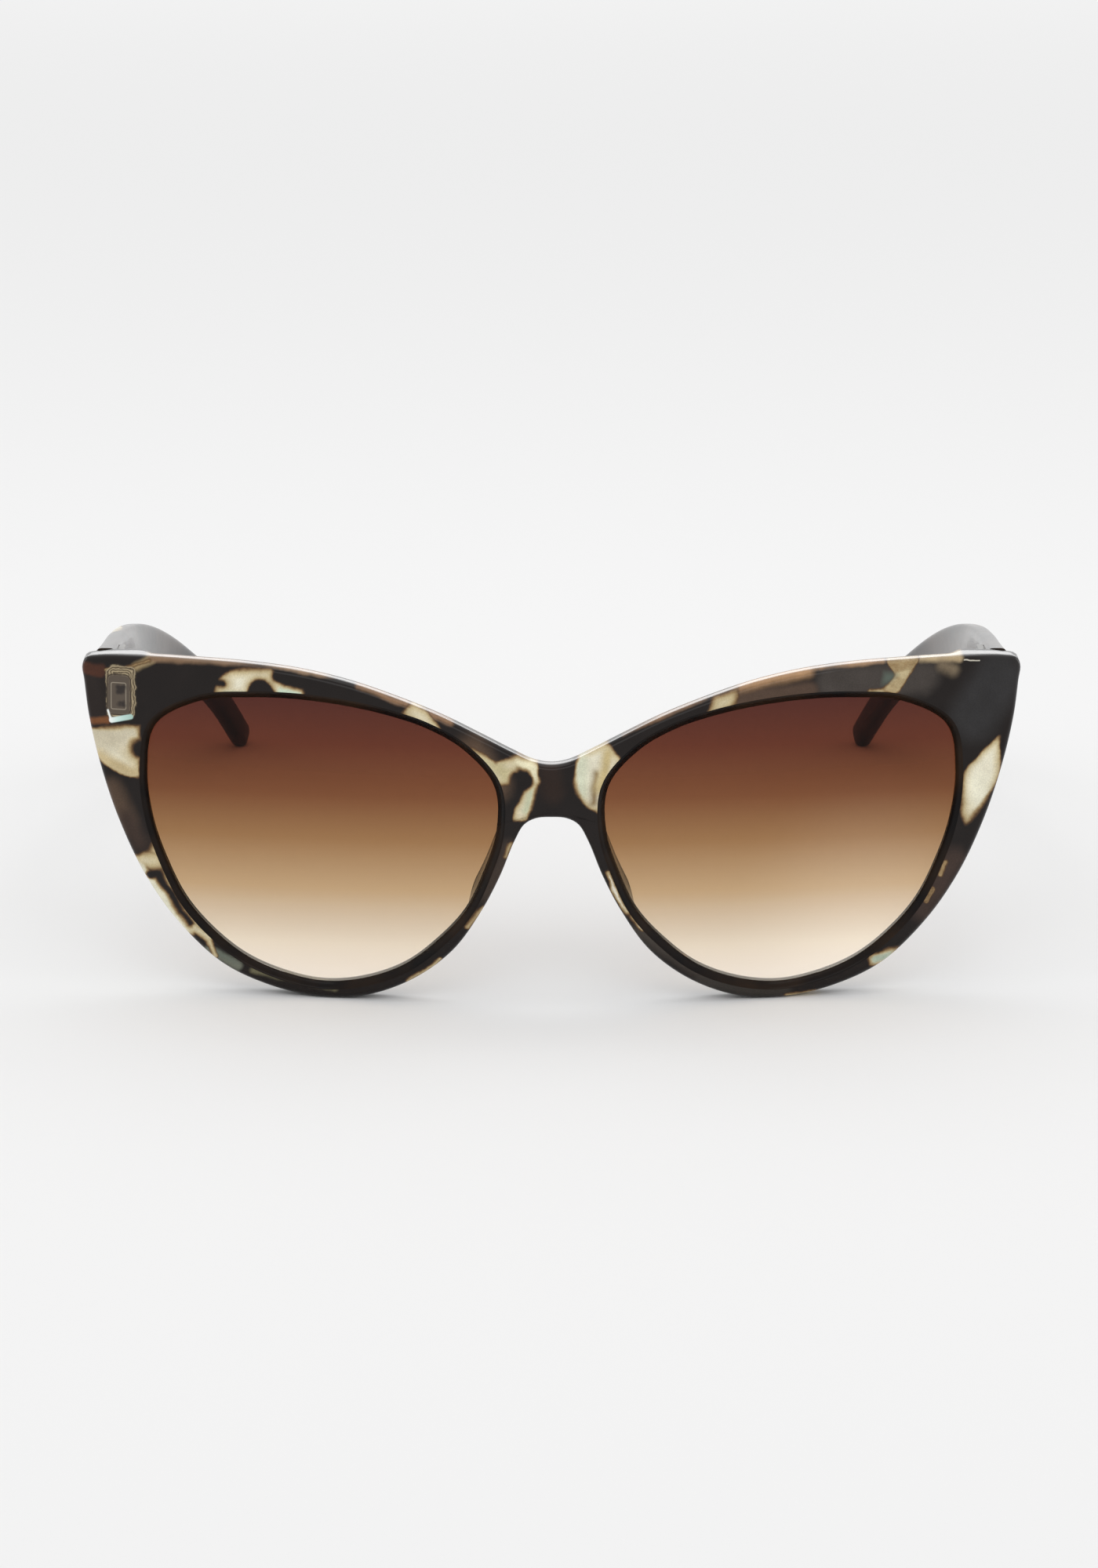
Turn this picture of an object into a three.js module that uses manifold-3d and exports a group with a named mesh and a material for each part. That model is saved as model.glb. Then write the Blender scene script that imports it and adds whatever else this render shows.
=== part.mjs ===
// Cat eye sunglasses, millimetres, +Z up, standing open on a table: the two rim bottoms and
// the two temple tips touch z = 0. The wearer looks along -Y, so the wearer's right is -X.
//
// The front is drawn in its own flat coordinates: u across, w up, n backwards into the head.
// w = 0 is the lens mid height and n = 0 is the foremost point of the bridge. The temples are
// drawn in (u, d, v): d runs back from the butt joint and v goes up from the temple's top line.
import * as THREE from 'three';
import { mergeGeometries, mergeVertices } from 'three/addons/utils/BufferGeometryUtils.js';
import Module from 'manifold-3d';

const wasm = await Module();
wasm.setup();

// ---- driving dimensions -------------------------------------------------------------------
const FRONT_LEAN = THREE.MathUtils.degToRad(4);      // the front leans back on the table
const TEMPLE_SLOPE = THREE.MathUtils.degToRad(11.1); // the temples run down to the table
const FORM_RADIUS_ACROSS = 230; // curve of the front seen from above
const FORM_RADIUS_UP = 130;     // curve of the front seen from the side
const RIM_DEPTH = 4;            // front to back thickness of the rims
const FRONT_ROUND = 0.9;        // edge radius on the face
const BACK_ROUND = 0.6;         // edge radius at the back
const BEVEL_WIDTH = 1.15;       // dark sloping step inside each rim
const GROOVE_DEPTH = 0.8;       // lens groove
const GROOVE_FRONT = 1.5;
const GROOVE_BACK = 3.45;
const LENS_BITE = 0.65;         // how far the lens reaches into the groove
const LENS_FRONT = 1.62;
const LENS_BACK = 3.32;
const BUTT_PLANE = 18.8;        // n of the flat back of the endpieces
const BUTT_GAP = 0.25;          // play between endpiece and temple
const TOP_LINE = 26.6;          // w of the level stretch of the top edge
const PAD_HEIGHT = 4.5;         // how far the nose pads stand behind the rims
const PAD_SPLAY = 2.0;          // how far they lean apart towards the face
const HINGE_U = 67.0;           // hinge axis, across
const HINGE_W = 21.4;           // hinge middle, up
const HINGE_BEHIND = 1.45;      // hinge axis behind the butt plane
const KNUCKLE_RADIUS = 1.3;
const BORE_RADIUS = 0.68;
const SCREW_RADIUS = 0.58;
const MIDDLE_KNUCKLE = 2.4;     // height of the front leaf's knuckle
const OUTER_KNUCKLE = 1.8;      // height of each temple leaf knuckle
const KNUCKLE_GAP = 0.12;
const SCREW_SEAT_GAP = 0.05;    // screw head above the top knuckle
const CLEAR = 1;                // how far cutters run past what they cut
const TABLE_Z = -27.08;         // table, below the front's own origin
const DEPTH_CENTRE = 75.14;     // middle of the whole depth, behind the front's own origin

const LENS_CENTRE = [36, 0.5];

// Lens opening, anticlockwise seen from the front, starting at the temple side.
const OPENING = [
  [62.3, 1], [63.2, 8.5], [61.8, 16.1], [54.7, 20.1], [47, 20.95], [40.9, 21], [35.5, 20.6],
  [30.4, 19.9], [25.2, 18.8], [19.5, 17], [13.6, 13.7], [8.9, 8.2], [8.5, 1], [10.5, -5.7],
  [13.4, -11.8], [17.8, -16.8], [22.8, -20.8], [29, -23.3], [35.5, -24.1], [41.9, -22.9],
  [47.8, -20.4], [52.9, -16.4], [57.1, -11.5], [60.1, -5.5],
];

// Outline of one half of the front, same direction, from under the bridge round to its top.
// The first and last points are past the middle, so that the curve crosses it level.
const HALF_OUTLINE = [
  [-2.4, 3.2], [0, 3.4], [2.4, 3.2], [4.2, 2.2], [5.7, -0.4], [8, -6.1], [10.9, -11.8],
  [15.4, -18.3], [21.8, -23.3], [29.2, -26.2], [36.7, -26.6], [44.5, -25], [51.8, -21.6],
  [58.7, -15], [63.8, -7.6], [67.8, 1], [70.6, 9.4], [72.4, 17], [73.15, 22.5], [73.45, 24.6],
  [72.9, 25.9], [71, 26.35], [66, 26.6], [55.5, 26.5], [46, 26.1], [38.7, 25.3], [31.4, 23.8],
  [24, 21.5], [16.8, 18.75], [10.6, 15.8], [5.8, 13.4], [2.7, 12], [0, 11.55], [-2.7, 12],
];
const BRIDGE_STATIONS = [10.2, 7.5, 4.8]; // w of the stations down the middle of the bridge
const SPLIT = 2; // stations on each stretch of the outline

// Temple centre line: [u, d, v] with the section's half thickness and half height there.
const TEMPLE_LINE = [
  { at: [70.0, -6, -5.35], thick: 1.75, high: 5.35 }, // runs past the butt joint, cut there
  { at: [70.2, 14, -4.85], thick: 1.75, high: 4.85 },
  { at: [70.6, 36, -4.2], thick: 1.7, high: 4.2 },
  { at: [70.4, 57.5, -3.9], thick: 1.6, high: 3.7 },
  { at: [69.1, 75, -4.5], thick: 1.55, high: 3.3 },
  { at: [66.9, 91, -6.5], thick: 1.5, high: 2.95 },
  { at: [64.2, 104.5, -9.7], thick: 1.5, high: 2.7 },
  { at: [61.2, 116, -13.7], thick: 1.5, high: 2.5 },
  { at: [58.3, 126, -18.6], thick: 1.5, high: 2.4 },
  { at: [55.4, 134.8, -24.7], thick: 1.5, high: 2.3 },
];

const TORTOISE = { color: 0x3a2c28, roughness: 0.18, metalness: 0 };
const LENS_TINT = { color: 0xa07850, roughness: 0.05, metalness: 0 };
const HINGE_METAL = { color: 0x9a978f, roughness: 0.35, metalness: 1 };

// ---- solids -------------------------------------------------------------------------------
function formDepth(u, w) {
  return (u * u) / (2 * FORM_RADIUS_ACROSS) + (w * w) / (2 * FORM_RADIUS_UP);
}

function toSolid(geometry) {
  const bare = geometry.clone();
  bare.deleteAttribute('normal');
  bare.deleteAttribute('uv');
  const merged = mergeVertices(bare, 1e-5);
  return new wasm.Manifold(new wasm.Mesh({
    numProp: 3,
    vertProperties: new Float32Array(merged.attributes.position.array),
    triVerts: new Uint32Array(merged.index.array),
  }));
}

function toGeometry(solid) {
  const mesh = solid.getMesh();
  const geometry = new THREE.BufferGeometry();
  geometry.setAttribute('position', new THREE.BufferAttribute(mesh.vertProperties, 3));
  geometry.setIndex(new THREE.BufferAttribute(mesh.triVerts, 1));
  return geometry;
}

function meshOf(rings, faces) {
  const geometry = new THREE.BufferGeometry();
  const positions = new Float32Array(rings.flat(2));
  geometry.setAttribute('position', new THREE.BufferAttribute(positions, 3));
  geometry.setIndex(faces);
  return geometry;
}

// Joins rings of points, each the same length, into a skin. A closed skin wraps round to the
// first ring; an open one is capped with a fan at each end.
function skin(rings, closed) {
  const size = rings[0].length;
  const faces = [];
  const steps = closed ? rings.length : rings.length - 1;
  for (let i = 0; i < steps; i++) {
    const a = i * size;
    const b = ((i + 1) % rings.length) * size;
    for (let k = 0; k < size; k++) {
      const next = (k + 1) % size;
      faces.push(a + k, a + next, b + next, a + k, b + next, b + k);
    }
  }
  if (!closed) {
    const last = (rings.length - 1) * size;
    for (let k = 1; k < size - 1; k++) {
      faces.push(0, k + 1, k, last, last + k, last + k + 1);
    }
  }
  return meshOf(rings, faces);
}

// A copy mirrored to the other side of the face, with its faces turned to point out again.
function mirrored(geometry) {
  const copy = geometry.clone().applyMatrix4(new THREE.Matrix4().makeScale(-1, 1, 1));
  const index = copy.index.array;
  for (let i = 0; i < index.length; i += 3) {
    [index[i], index[i + 1]] = [index[i + 1], index[i]];
  }
  return copy;
}

function box(width, depth, height, x, y, z) {
  return toSolid(new THREE.BoxGeometry(width, depth, height).translate(x, y, z));
}

// An upright cylinder about (0, 0).
function post(radius, bottom, top, sides) {
  const turned = new THREE.CylinderGeometry(radius, radius, top - bottom, sides)
    .rotateX(Math.PI / 2).translate(0, 0, (bottom + top) / 2);
  return toSolid(turned);
}

// ---- curves of the front ------------------------------------------------------------------
function openCurve(points) {
  const knots = points.map((point) => new THREE.Vector3(...point));
  return new THREE.CatmullRomCurve3(knots, false, 'centripetal');
}

function pointWithNormal(curve, t) {
  const point = curve.getPoint(t);
  const tangent = curve.getTangent(t);
  return { at: [point.x, point.y], out: [tangent.y, -tangent.x] };
}

const openingCurve = new THREE.CatmullRomCurve3(
  OPENING.map(([u, w]) => new THREE.Vector3(u, w, 0)), true, 'centripetal');
const outlineCurve = openCurve(HALF_OUTLINE.map(([u, w]) => [u, w, 0]));

function angleAbout([u, w]) {
  return Math.atan2(w - LENS_CENTRE[1], u - LENS_CENTRE[0]);
}

// The point of the lens opening that lies in a given direction from the lens centre.
function openingAt(angle) {
  const turn = 2 * Math.PI;
  const start = angleAbout(OPENING[0]);
  const wanted = (((angle - start) % turn) + turn) % turn;
  let low = 0;
  let high = 1;
  for (let i = 0; i < 40; i++) {
    const middle = (low + high) / 2;
    const point = openingCurve.getPoint(middle);
    const reached = (((angleAbout([point.x, point.y]) - start) % turn) + turn) % turn;
    if (reached < wanted) low = middle;
    else high = middle;
  }
  return pointWithNormal(openingCurve, low);
}

function shifted(station, distance) {
  return [station.at[0] + station.out[0] * distance, station.at[1] + station.out[1] * distance];
}

function blend(a, b, share) {
  return [a[0] + (b[0] - a[0]) * share, a[1] + (b[1] - a[1]) * share];
}

// ---- front frame --------------------------------------------------------------------------
const ENDPIECE_U = [62.2, 64.6];  // the back thickens to the butt plane between these
const ENDPIECE_W = [12.2, 15.2];
const PAD_TOP_W = [-1.5, 3.2];    // the nose pad fades out between these, going up
const PAD_BOTTOM_W = [-17.5, -9]; // and grows between these
const PAD_REACH_U = 20;           // no pad beyond this

// The back face stands RIM_DEPTH behind the form, and thickens to the flat butt plane at the
// endpieces.
function backDepth([u, w]) {
  const rim = formDepth(u, w) + RIM_DEPTH;
  const endpiece = THREE.MathUtils.smoothstep(u, ...ENDPIECE_U)
    * THREE.MathUtils.smoothstep(w, ...ENDPIECE_W);
  return rim + (BUTT_PLANE - rim) * endpiece;
}

// 1 along the middle of the nose pad, 0 away from it.
function padShare([u, w]) {
  if (u > PAD_REACH_U) return 0;
  const upper = 1 - THREE.MathUtils.smoothstep(w, ...PAD_TOP_W);
  return upper * THREE.MathUtils.smoothstep(w, ...PAD_BOTTOM_W);
}

// Places in a section of the last point on the face and the first on the back.
const FACE_EDGE = 2;
const REAR_EDGE = 7;

const OPENING_CHAMFER = 0.35; // rear edge of the lens opening, across
const CHAMFER_DEPTH = 0.25;   // and front to back
const BEVEL_FOOT = 0.3;       // bevel's inner edge ahead of the lens groove
const BEVEL_LIP = [0.2, 0.12]; // small rounding where the bevel meets the face
// How far across the back the pad's two inner lines lie, and their share of its height.
const PAD_LINES = [[0.35, 0.8], [0.7, 0.25]];

// One closed section through the rim, from the lens opening out to the outline and back.
function rimSection(inner, outer) {
  const pad = padShare(outer.at);
  const backEdge = shifted(outer, -PAD_SPLAY * pad);
  const backOuter = { at: backEdge, out: outer.out };
  const onForm = ([u, w], depth) => [u, formDepth(u, w) + depth, w];
  const onBack = ([u, w], lift, share) => [u, backDepth([u, w]) + PAD_HEIGHT * pad * share - lift, w];
  const faceInner = shifted(inner, BEVEL_WIDTH);
  const faceOuter = shifted(outer, -FRONT_ROUND);
  const rearInner = shifted(inner, OPENING_CHAMFER);
  const rearOuter = shifted(backOuter, -BACK_ROUND);
  const soft = 1 - Math.SQRT1_2;
  return [
    onForm(faceInner, 0),
    onForm(blend(faceInner, faceOuter, 0.5), 0),
    onForm(faceOuter, 0),
    onForm(shifted(outer, -FRONT_ROUND * soft), FRONT_ROUND * soft),
    onForm(outer.at, FRONT_ROUND),
    onBack(backEdge, BACK_ROUND, 1),
    onBack(shifted(backOuter, -BACK_ROUND * soft), BACK_ROUND * soft, 1),
    onBack(rearOuter, 0, 1),
    ...PAD_LINES.map(([way, share]) => onBack(blend(rearOuter, rearInner, way), 0, share)),
    onForm(rearInner, RIM_DEPTH),
    onForm(inner.at, RIM_DEPTH - CHAMFER_DEPTH),
    onForm(inner.at, GROOVE_BACK),
    onForm(shifted(inner, GROOVE_DEPTH), GROOVE_BACK),
    onForm(shifted(inner, GROOVE_DEPTH), GROOVE_FRONT),
    onForm(inner.at, GROOVE_FRONT),
    onForm(inner.at, GROOVE_FRONT - BEVEL_FOOT),
    onForm(shifted(inner, BEVEL_WIDTH - BEVEL_LIP[0]), BEVEL_LIP[1]),
  ];
}

// Pocket in the back of the endpiece: a wide shallow recess and the hole the hinge foot fills.
const RECESS = { width: 4.3, height: 7.6, depth: 0.7 };
const FOOT = { width: 2.2, height: 4.2, depth: 4.2 };
const FOOT_GAP = 0.12;

function hingePocket() {
  const recess = box(RECESS.width, 2 * RECESS.depth, RECESS.height, HINGE_U, BUTT_PLANE, HINGE_W);
  const holeDepth = FOOT.depth + RECESS.depth + FOOT_GAP;
  const hole = box(FOOT.width + 2 * FOOT_GAP, 2 * holeDepth, FOOT.height + 2 * FOOT_GAP,
    HINGE_U, BUTT_PLANE, HINGE_W);
  return recess.add(hole);
}

const TABLE = { width: 400, thick: 40 };

// Everything below the table, seen from the leaning front.
function belowTable() {
  const slab = new THREE.BoxGeometry(TABLE.width, TABLE.width, TABLE.thick)
    .translate(0, 0, TABLE_Z - TABLE.thick / 2);
  slab.applyMatrix4(new THREE.Matrix4().makeRotationX(FRONT_LEAN));
  return toSolid(slab);
}

// Stations round one half of the front: the outline from under the bridge to its top, then
// down the middle of the bridge, where the other half joins on.
function halfStations() {
  const stations = [];
  const stretches = HALF_OUTLINE.length - 1;
  const last = (stretches - 2) * SPLIT;
  for (let i = 0; i <= last; i++) {
    stations.push(pointWithNormal(outlineCurve, (1 + i / SPLIT) / stretches));
  }
  // The two on the middle plane are set exactly there, facing straight down and straight up.
  stations[0] = { at: [0, stations[0].at[1]], out: [0, -1] };
  stations[last] = { at: [0, stations[last].at[1]], out: [0, 1] };
  return { outline: stations, bridge: BRIDGE_STATIONS.map((w) => ({ at: [0, w], out: [0, 0] })) };
}

// The skin of one half, open where it meets the middle plane: across the bridge the faces
// between the last point on the face and the first point on the back are left out.
function halfFront() {
  const { outline, bridge } = halfStations();
  const stations = [...outline, ...bridge];
  const rings = stations.map((outer) => rimSection(openingAt(angleAbout(outer.at)), outer));
  const size = rings[0].length;
  const faces = [];
  for (let i = 0; i < rings.length; i++) {
    const a = i * size;
    const b = ((i + 1) % rings.length) * size;
    const acrossBridge = i >= outline.length - 1;
    for (let k = 0; k < size; k++) {
      const next = (k + 1) % size;
      if (acrossBridge && k >= FACE_EDGE && k < REAR_EDGE) continue;
      faces.push(a + k, a + next, b + next, a + k, b + next, b + k);
    }
  }
  return meshOf(rings, faces);
}

function frontFrame() {
  const half = halfFront();
  const whole = toSolid(mergeGeometries([half, mirrored(half)]));
  const pocket = hingePocket();
  const otherPocket = toSolid(mirrored(toGeometry(pocket)));
  return toGeometry(whole.subtract(pocket).subtract(otherPocket).subtract(belowTable()));
}

// ---- lenses -------------------------------------------------------------------------------
const LENS_SIDES = 56;
const LENS_RINGS = [1, 0.72, 0.4, 0.08];

function lens() {
  const edge = [];
  for (let i = 0; i < LENS_SIDES; i++) {
    const station = pointWithNormal(openingCurve, i / LENS_SIDES);
    edge.push(shifted(station, LENS_BITE));
  }
  const ringAt = (share, depth) => edge.map((point) => {
    const [u, w] = blend(LENS_CENTRE, point, share);
    return [u, formDepth(u, w) + depth, w];
  });
  const front = LENS_RINGS.map((share) => ringAt(share, LENS_FRONT));
  const back = LENS_RINGS.map((share) => ringAt(share, LENS_BACK)).reverse();
  return skin([...back, ...front], false);
}

// ---- temples ------------------------------------------------------------------------------
const TEMPLE_SIDES = 16;
const TEMPLE_STEPS = 34;
const TIP_DOME = [0.96, 0.84, 0.6, 0.3]; // section scale over the rounded tip
const TIP_LENGTH = 2.3;

// Value of a temple property along the line, t from 0 to 1.
function along(property, t) {
  const place = t * (TEMPLE_LINE.length - 1);
  const i = Math.min(Math.floor(place), TEMPLE_LINE.length - 2);
  const share = place - i;
  return TEMPLE_LINE[i][property] * (1 - share) + TEMPLE_LINE[i + 1][property] * share;
}

// Rounded box section, softer towards the tip.
function templeSection(centre, tangent, thick, high, squareness) {
  const side = new THREE.Vector3().crossVectors(tangent, new THREE.Vector3(0, 0, 1)).normalize();
  const up = new THREE.Vector3().crossVectors(side, tangent);
  const ring = [];
  for (let k = 0; k < TEMPLE_SIDES; k++) {
    const angle = (-2 * Math.PI * (k + 0.5)) / TEMPLE_SIDES;
    const power = 2 / squareness;
    const x = Math.sign(Math.cos(angle)) * Math.abs(Math.cos(angle)) ** power * thick;
    const z = Math.sign(Math.sin(angle)) * Math.abs(Math.sin(angle)) ** power * high;
    const point = centre.clone().addScaledVector(side, x).addScaledVector(up, z);
    ring.push([point.x, point.y, point.z]);
  }
  return ring;
}

function templeBlank() {
  const line = openCurve(TEMPLE_LINE.map(({ at }) => at));
  const rings = [];
  for (let i = 0; i <= TEMPLE_STEPS; i++) {
    const t = i / TEMPLE_STEPS;
    const centre = line.getPoint(t);
    const tangent = line.getTangent(t);
    rings.push(templeSection(centre, tangent, along('thick', t), along('high', t), 5 - 2 * t));
  }
  const end = TEMPLE_LINE.at(-1);
  const endTangent = line.getTangent(1);
  TIP_DOME.forEach((scale) => {
    const reach = TIP_LENGTH * Math.sqrt(1 - scale * scale);
    const centre = line.getPoint(1).addScaledVector(endTangent, reach);
    rings.push(templeSection(centre, endTangent, end.thick * scale, end.high * scale, 3));
  });
  return skin(rings, false);
}

// From the temple's own (u, d, v) to the front's (u, n, w): turned about the top of the butt
// joint, so that the temple points down its own slope.
function templeToFront() {
  const turn = new THREE.Matrix4().makeRotationX(FRONT_LEAN - TEMPLE_SLOPE);
  return new THREE.Matrix4().makeTranslation(0, BUTT_PLANE, TOP_LINE).multiply(turn);
}

// Slot in the temple's inner face for the plate of its hinge leaf.
const PLATE = { thick: 1.0, high: 6.24, length: 10.5, start: 1.75 };
const PLATE_GAP = 0.12;
const PLATE_INNER = HINGE_U + 0.7;

function platePocket() {
  const inner = PLATE_INNER - 2 * CLEAR;
  const outer = PLATE_INNER + PLATE.thick + PLATE_GAP;
  const length = PLATE.length + PLATE_GAP + 6 * CLEAR; // open through the temple's front end
  const back = BUTT_PLANE + HINGE_BEHIND + PLATE.start + PLATE.length + PLATE_GAP;
  return box(outer - inner, length, PLATE.high + 2 * PLATE_GAP,
    (inner + outer) / 2, back - length / 2, HINGE_W);
}

const BUTT_CUT = { width: 40, depth: 40, height: 60 }; // takes off all that runs into the front

function temple() {
  const blank = toSolid(templeBlank().applyMatrix4(templeToFront()));
  const inFront = box(BUTT_CUT.width, BUTT_CUT.depth, BUTT_CUT.height,
    TEMPLE_LINE[0].at[0], BUTT_PLANE + BUTT_GAP - BUTT_CUT.depth / 2, TOP_LINE);
  return toGeometry(blank.subtract(inFront).subtract(platePocket()).subtract(belowTable()));
}

// ---- hinges -------------------------------------------------------------------------------
const BARREL_SIDES = 20;
const FLANGE = { width: 3.4, depth: 0.5, height: 5.8 };
const NECK_WIDTH = 1.7;

// Foot in the endpiece, neck and middle knuckle. Origin on the hinge axis at its middle.
function frontLeaf() {
  const half = MIDDLE_KNUCKLE / 2;
  const footBack = -HINGE_BEHIND - RECESS.depth;
  const foot = box(FOOT.width, FOOT.depth, FOOT.height, 0, footBack - FOOT.depth / 2, 0);
  const flange = box(FLANGE.width, FLANGE.depth, FLANGE.height, 0, footBack + FLANGE.depth / 2, 0);
  const neckLength = HINGE_BEHIND + RECESS.depth;
  const neck = box(NECK_WIDTH, neckLength, MIDDLE_KNUCKLE, 0, -neckLength / 2, 0);
  const hole = post(BORE_RADIUS, -half - CLEAR, half + CLEAR, BARREL_SIDES);
  const solid = foot.add(flange).add(neck)
    .add(post(KNUCKLE_RADIUS, -half, half, BARREL_SIDES)).subtract(hole);
  return toGeometry(solid);
}

const WEB_OVERLAP = 0.25; // how far the webs reach in past the middle of the plate

// Two knuckles, their webs and the plate along the temple. Same origin.
function templeLeaf() {
  const inner = MIDDLE_KNUCKLE / 2 + KNUCKLE_GAP;
  const outer = inner + OUTER_KNUCKLE;
  const plateX = PLATE_INNER - HINGE_U + PLATE.thick / 2;
  let leaf = box(PLATE.thick, PLATE.length, PLATE.high, plateX, PLATE.start + PLATE.length / 2, 0);
  for (const side of [-1, 1]) {
    const [bottom, top] = side > 0 ? [inner, outer] : [-outer, -inner];
    const webLength = PLATE.start + CLEAR;
    const web = box(KNUCKLE_RADIUS, webLength, top - bottom,
      plateX - WEB_OVERLAP, webLength / 2, (bottom + top) / 2);
    const boreEnd = KNUCKLE_GAP / 2;
    leaf = leaf.add(web).add(post(KNUCKLE_RADIUS, bottom, top, BARREL_SIDES));
    leaf = leaf.subtract(post(BORE_RADIUS, bottom - boreEnd, top + boreEnd, BARREL_SIDES));
  }
  return toGeometry(leaf);
}

const SCREW_HEAD = { radius: 1.0, height: 0.55, slot: 0.28, slotDepth: 0.25 };
const SCREW_FOOT = 0.1; // how far the screw stands out below the bottom knuckle

function hingeScrew() {
  const reach = MIDDLE_KNUCKLE / 2 + KNUCKLE_GAP + OUTER_KNUCKLE;
  const seat = reach + SCREW_SEAT_GAP;
  const headTop = seat + SCREW_HEAD.height;
  const slotLength = 2 * (SCREW_HEAD.radius + CLEAR);
  const slot = box(slotLength, SCREW_HEAD.slot, 2 * SCREW_HEAD.slotDepth, 0, 0, headTop);
  const solid = post(SCREW_RADIUS, -reach - SCREW_FOOT, seat + SCREW_FOOT, BARREL_SIDES)
    .add(post(SCREW_HEAD.radius, seat, headTop, BARREL_SIDES)).subtract(slot);
  return toGeometry(solid);
}

// ---- assembly -----------------------------------------------------------------------------
const sunglasses = new THREE.Group();
sunglasses.rotation.x = -FRONT_LEAN;
sunglasses.position.set(0, -DEPTH_CENTRE, -TABLE_Z);

function place(name, geometry, look, position = [0, 0, 0]) {
  geometry.computeVertexNormals();
  const mesh = new THREE.Mesh(geometry, new THREE.MeshStandardMaterial(look));
  mesh.name = name;
  mesh.position.set(...position);
  sunglasses.add(mesh);
}

// Places a piece of the +X side, the wearer's left, and its mirror image on the right.
function placePair(name, geometry, look, [x, y, z] = [0, 0, 0]) {
  place(`${name}_left`, geometry, look, [x, y, z]);
  place(`${name}_right`, mirrored(geometry), look, [-x, y, z]);
}

const hingeAxis = [HINGE_U, BUTT_PLANE + HINGE_BEHIND, HINGE_W];
place('front_frame', frontFrame(), TORTOISE);
placePair('lens', lens(), LENS_TINT);
placePair('temple', temple(), TORTOISE);
placePair('hinge_front_leaf', frontLeaf(), HINGE_METAL, hingeAxis);
placePair('hinge_temple_leaf', templeLeaf(), HINGE_METAL, hingeAxis);
placePair('hinge_screw', hingeScrew(), HINGE_METAL, hingeAxis);

export default sunglasses;
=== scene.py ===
"""Cat eye sunglasses: the visual model and the studio around it.

The finely meshed front, lenses and temples are built from the same driving dimensions as the
CAD model. The front is drawn in its own flat coordinates in millimetres: u across, w up and n
backwards. The temples are drawn in (u, d, v): d back from the butt joint, v up from the top
line. Left and right in the names are the wearer's, and the wearer's left is +X.
"""
import math

import bmesh
import bpy
import numpy as np
from mathutils import Euler, Matrix, Vector


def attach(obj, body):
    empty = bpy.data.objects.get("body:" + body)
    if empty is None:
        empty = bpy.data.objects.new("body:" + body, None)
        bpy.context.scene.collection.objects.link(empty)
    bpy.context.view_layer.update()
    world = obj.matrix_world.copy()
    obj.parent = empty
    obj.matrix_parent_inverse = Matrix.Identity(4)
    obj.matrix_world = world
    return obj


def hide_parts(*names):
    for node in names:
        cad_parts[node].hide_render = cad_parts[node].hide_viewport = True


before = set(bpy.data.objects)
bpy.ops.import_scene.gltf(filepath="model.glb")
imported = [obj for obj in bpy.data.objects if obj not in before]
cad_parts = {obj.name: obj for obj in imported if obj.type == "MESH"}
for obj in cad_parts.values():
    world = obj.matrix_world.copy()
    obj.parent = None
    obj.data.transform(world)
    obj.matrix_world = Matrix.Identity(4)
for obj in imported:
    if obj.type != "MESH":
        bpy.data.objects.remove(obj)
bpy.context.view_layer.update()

MM = 0.001

# ---- driving dimensions, as in the CAD model ------------------------------------------------
FRONT_LEAN = math.radians(4)
TEMPLE_SLOPE = math.radians(11.1)
FORM_RADIUS_ACROSS = 230
FORM_RADIUS_UP = 130
RIM_DEPTH = 4
FRONT_ROUND = 0.9
BACK_ROUND = 0.6
BEVEL_WIDTH = 1.15
GROOVE_DEPTH = 0.8
GROOVE_FRONT = 1.5
GROOVE_BACK = 3.45
LENS_BITE = 0.65
LENS_FRONT = 1.62
LENS_BACK = 3.32
BUTT_PLANE = 18.8
BUTT_GAP = 0.25
TOP_LINE = 26.6
ENDPIECE_U = (62.2, 64.6)   # the rim deepens into the endpiece between these
ENDPIECE_W = (12.2, 15.2)
PAD_HEIGHT = 4.5
PAD_SPLAY = 2.0
PAD_TOP_W = (-1.5, 3.2)     # the nose pad fades out between these, above and below
PAD_BOTTOM_W = (-17.5, -9)
PAD_REACH_U = 20
HINGE_U = 67.0
HINGE_W = 21.4
HINGE_BEHIND = 1.45
TABLE_Z = -27.08
DEPTH_CENTRE = 75.14
LENS_CENTRE = (36, 0.5)

# The points of the next three lists were measured and fitted on a photograph by other scripts,
# then rounded and adjusted.
# Lens opening, anticlockwise seen from the front, starting at the temple side.
OPENING = [
    (62.3, 1), (63.2, 8.5), (61.8, 16.1), (54.7, 20.1), (47, 20.95), (40.9, 21), (35.5, 20.6),
    (30.4, 19.9), (25.2, 18.8), (19.5, 17), (13.6, 13.7), (8.9, 8.2), (8.5, 1), (10.5, -5.7),
    (13.4, -11.8), (17.8, -16.8), (22.8, -20.8), (29, -23.3), (35.5, -24.1), (41.9, -22.9),
    (47.8, -20.4), (52.9, -16.4), (57.1, -11.5), (60.1, -5.5),
]

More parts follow.
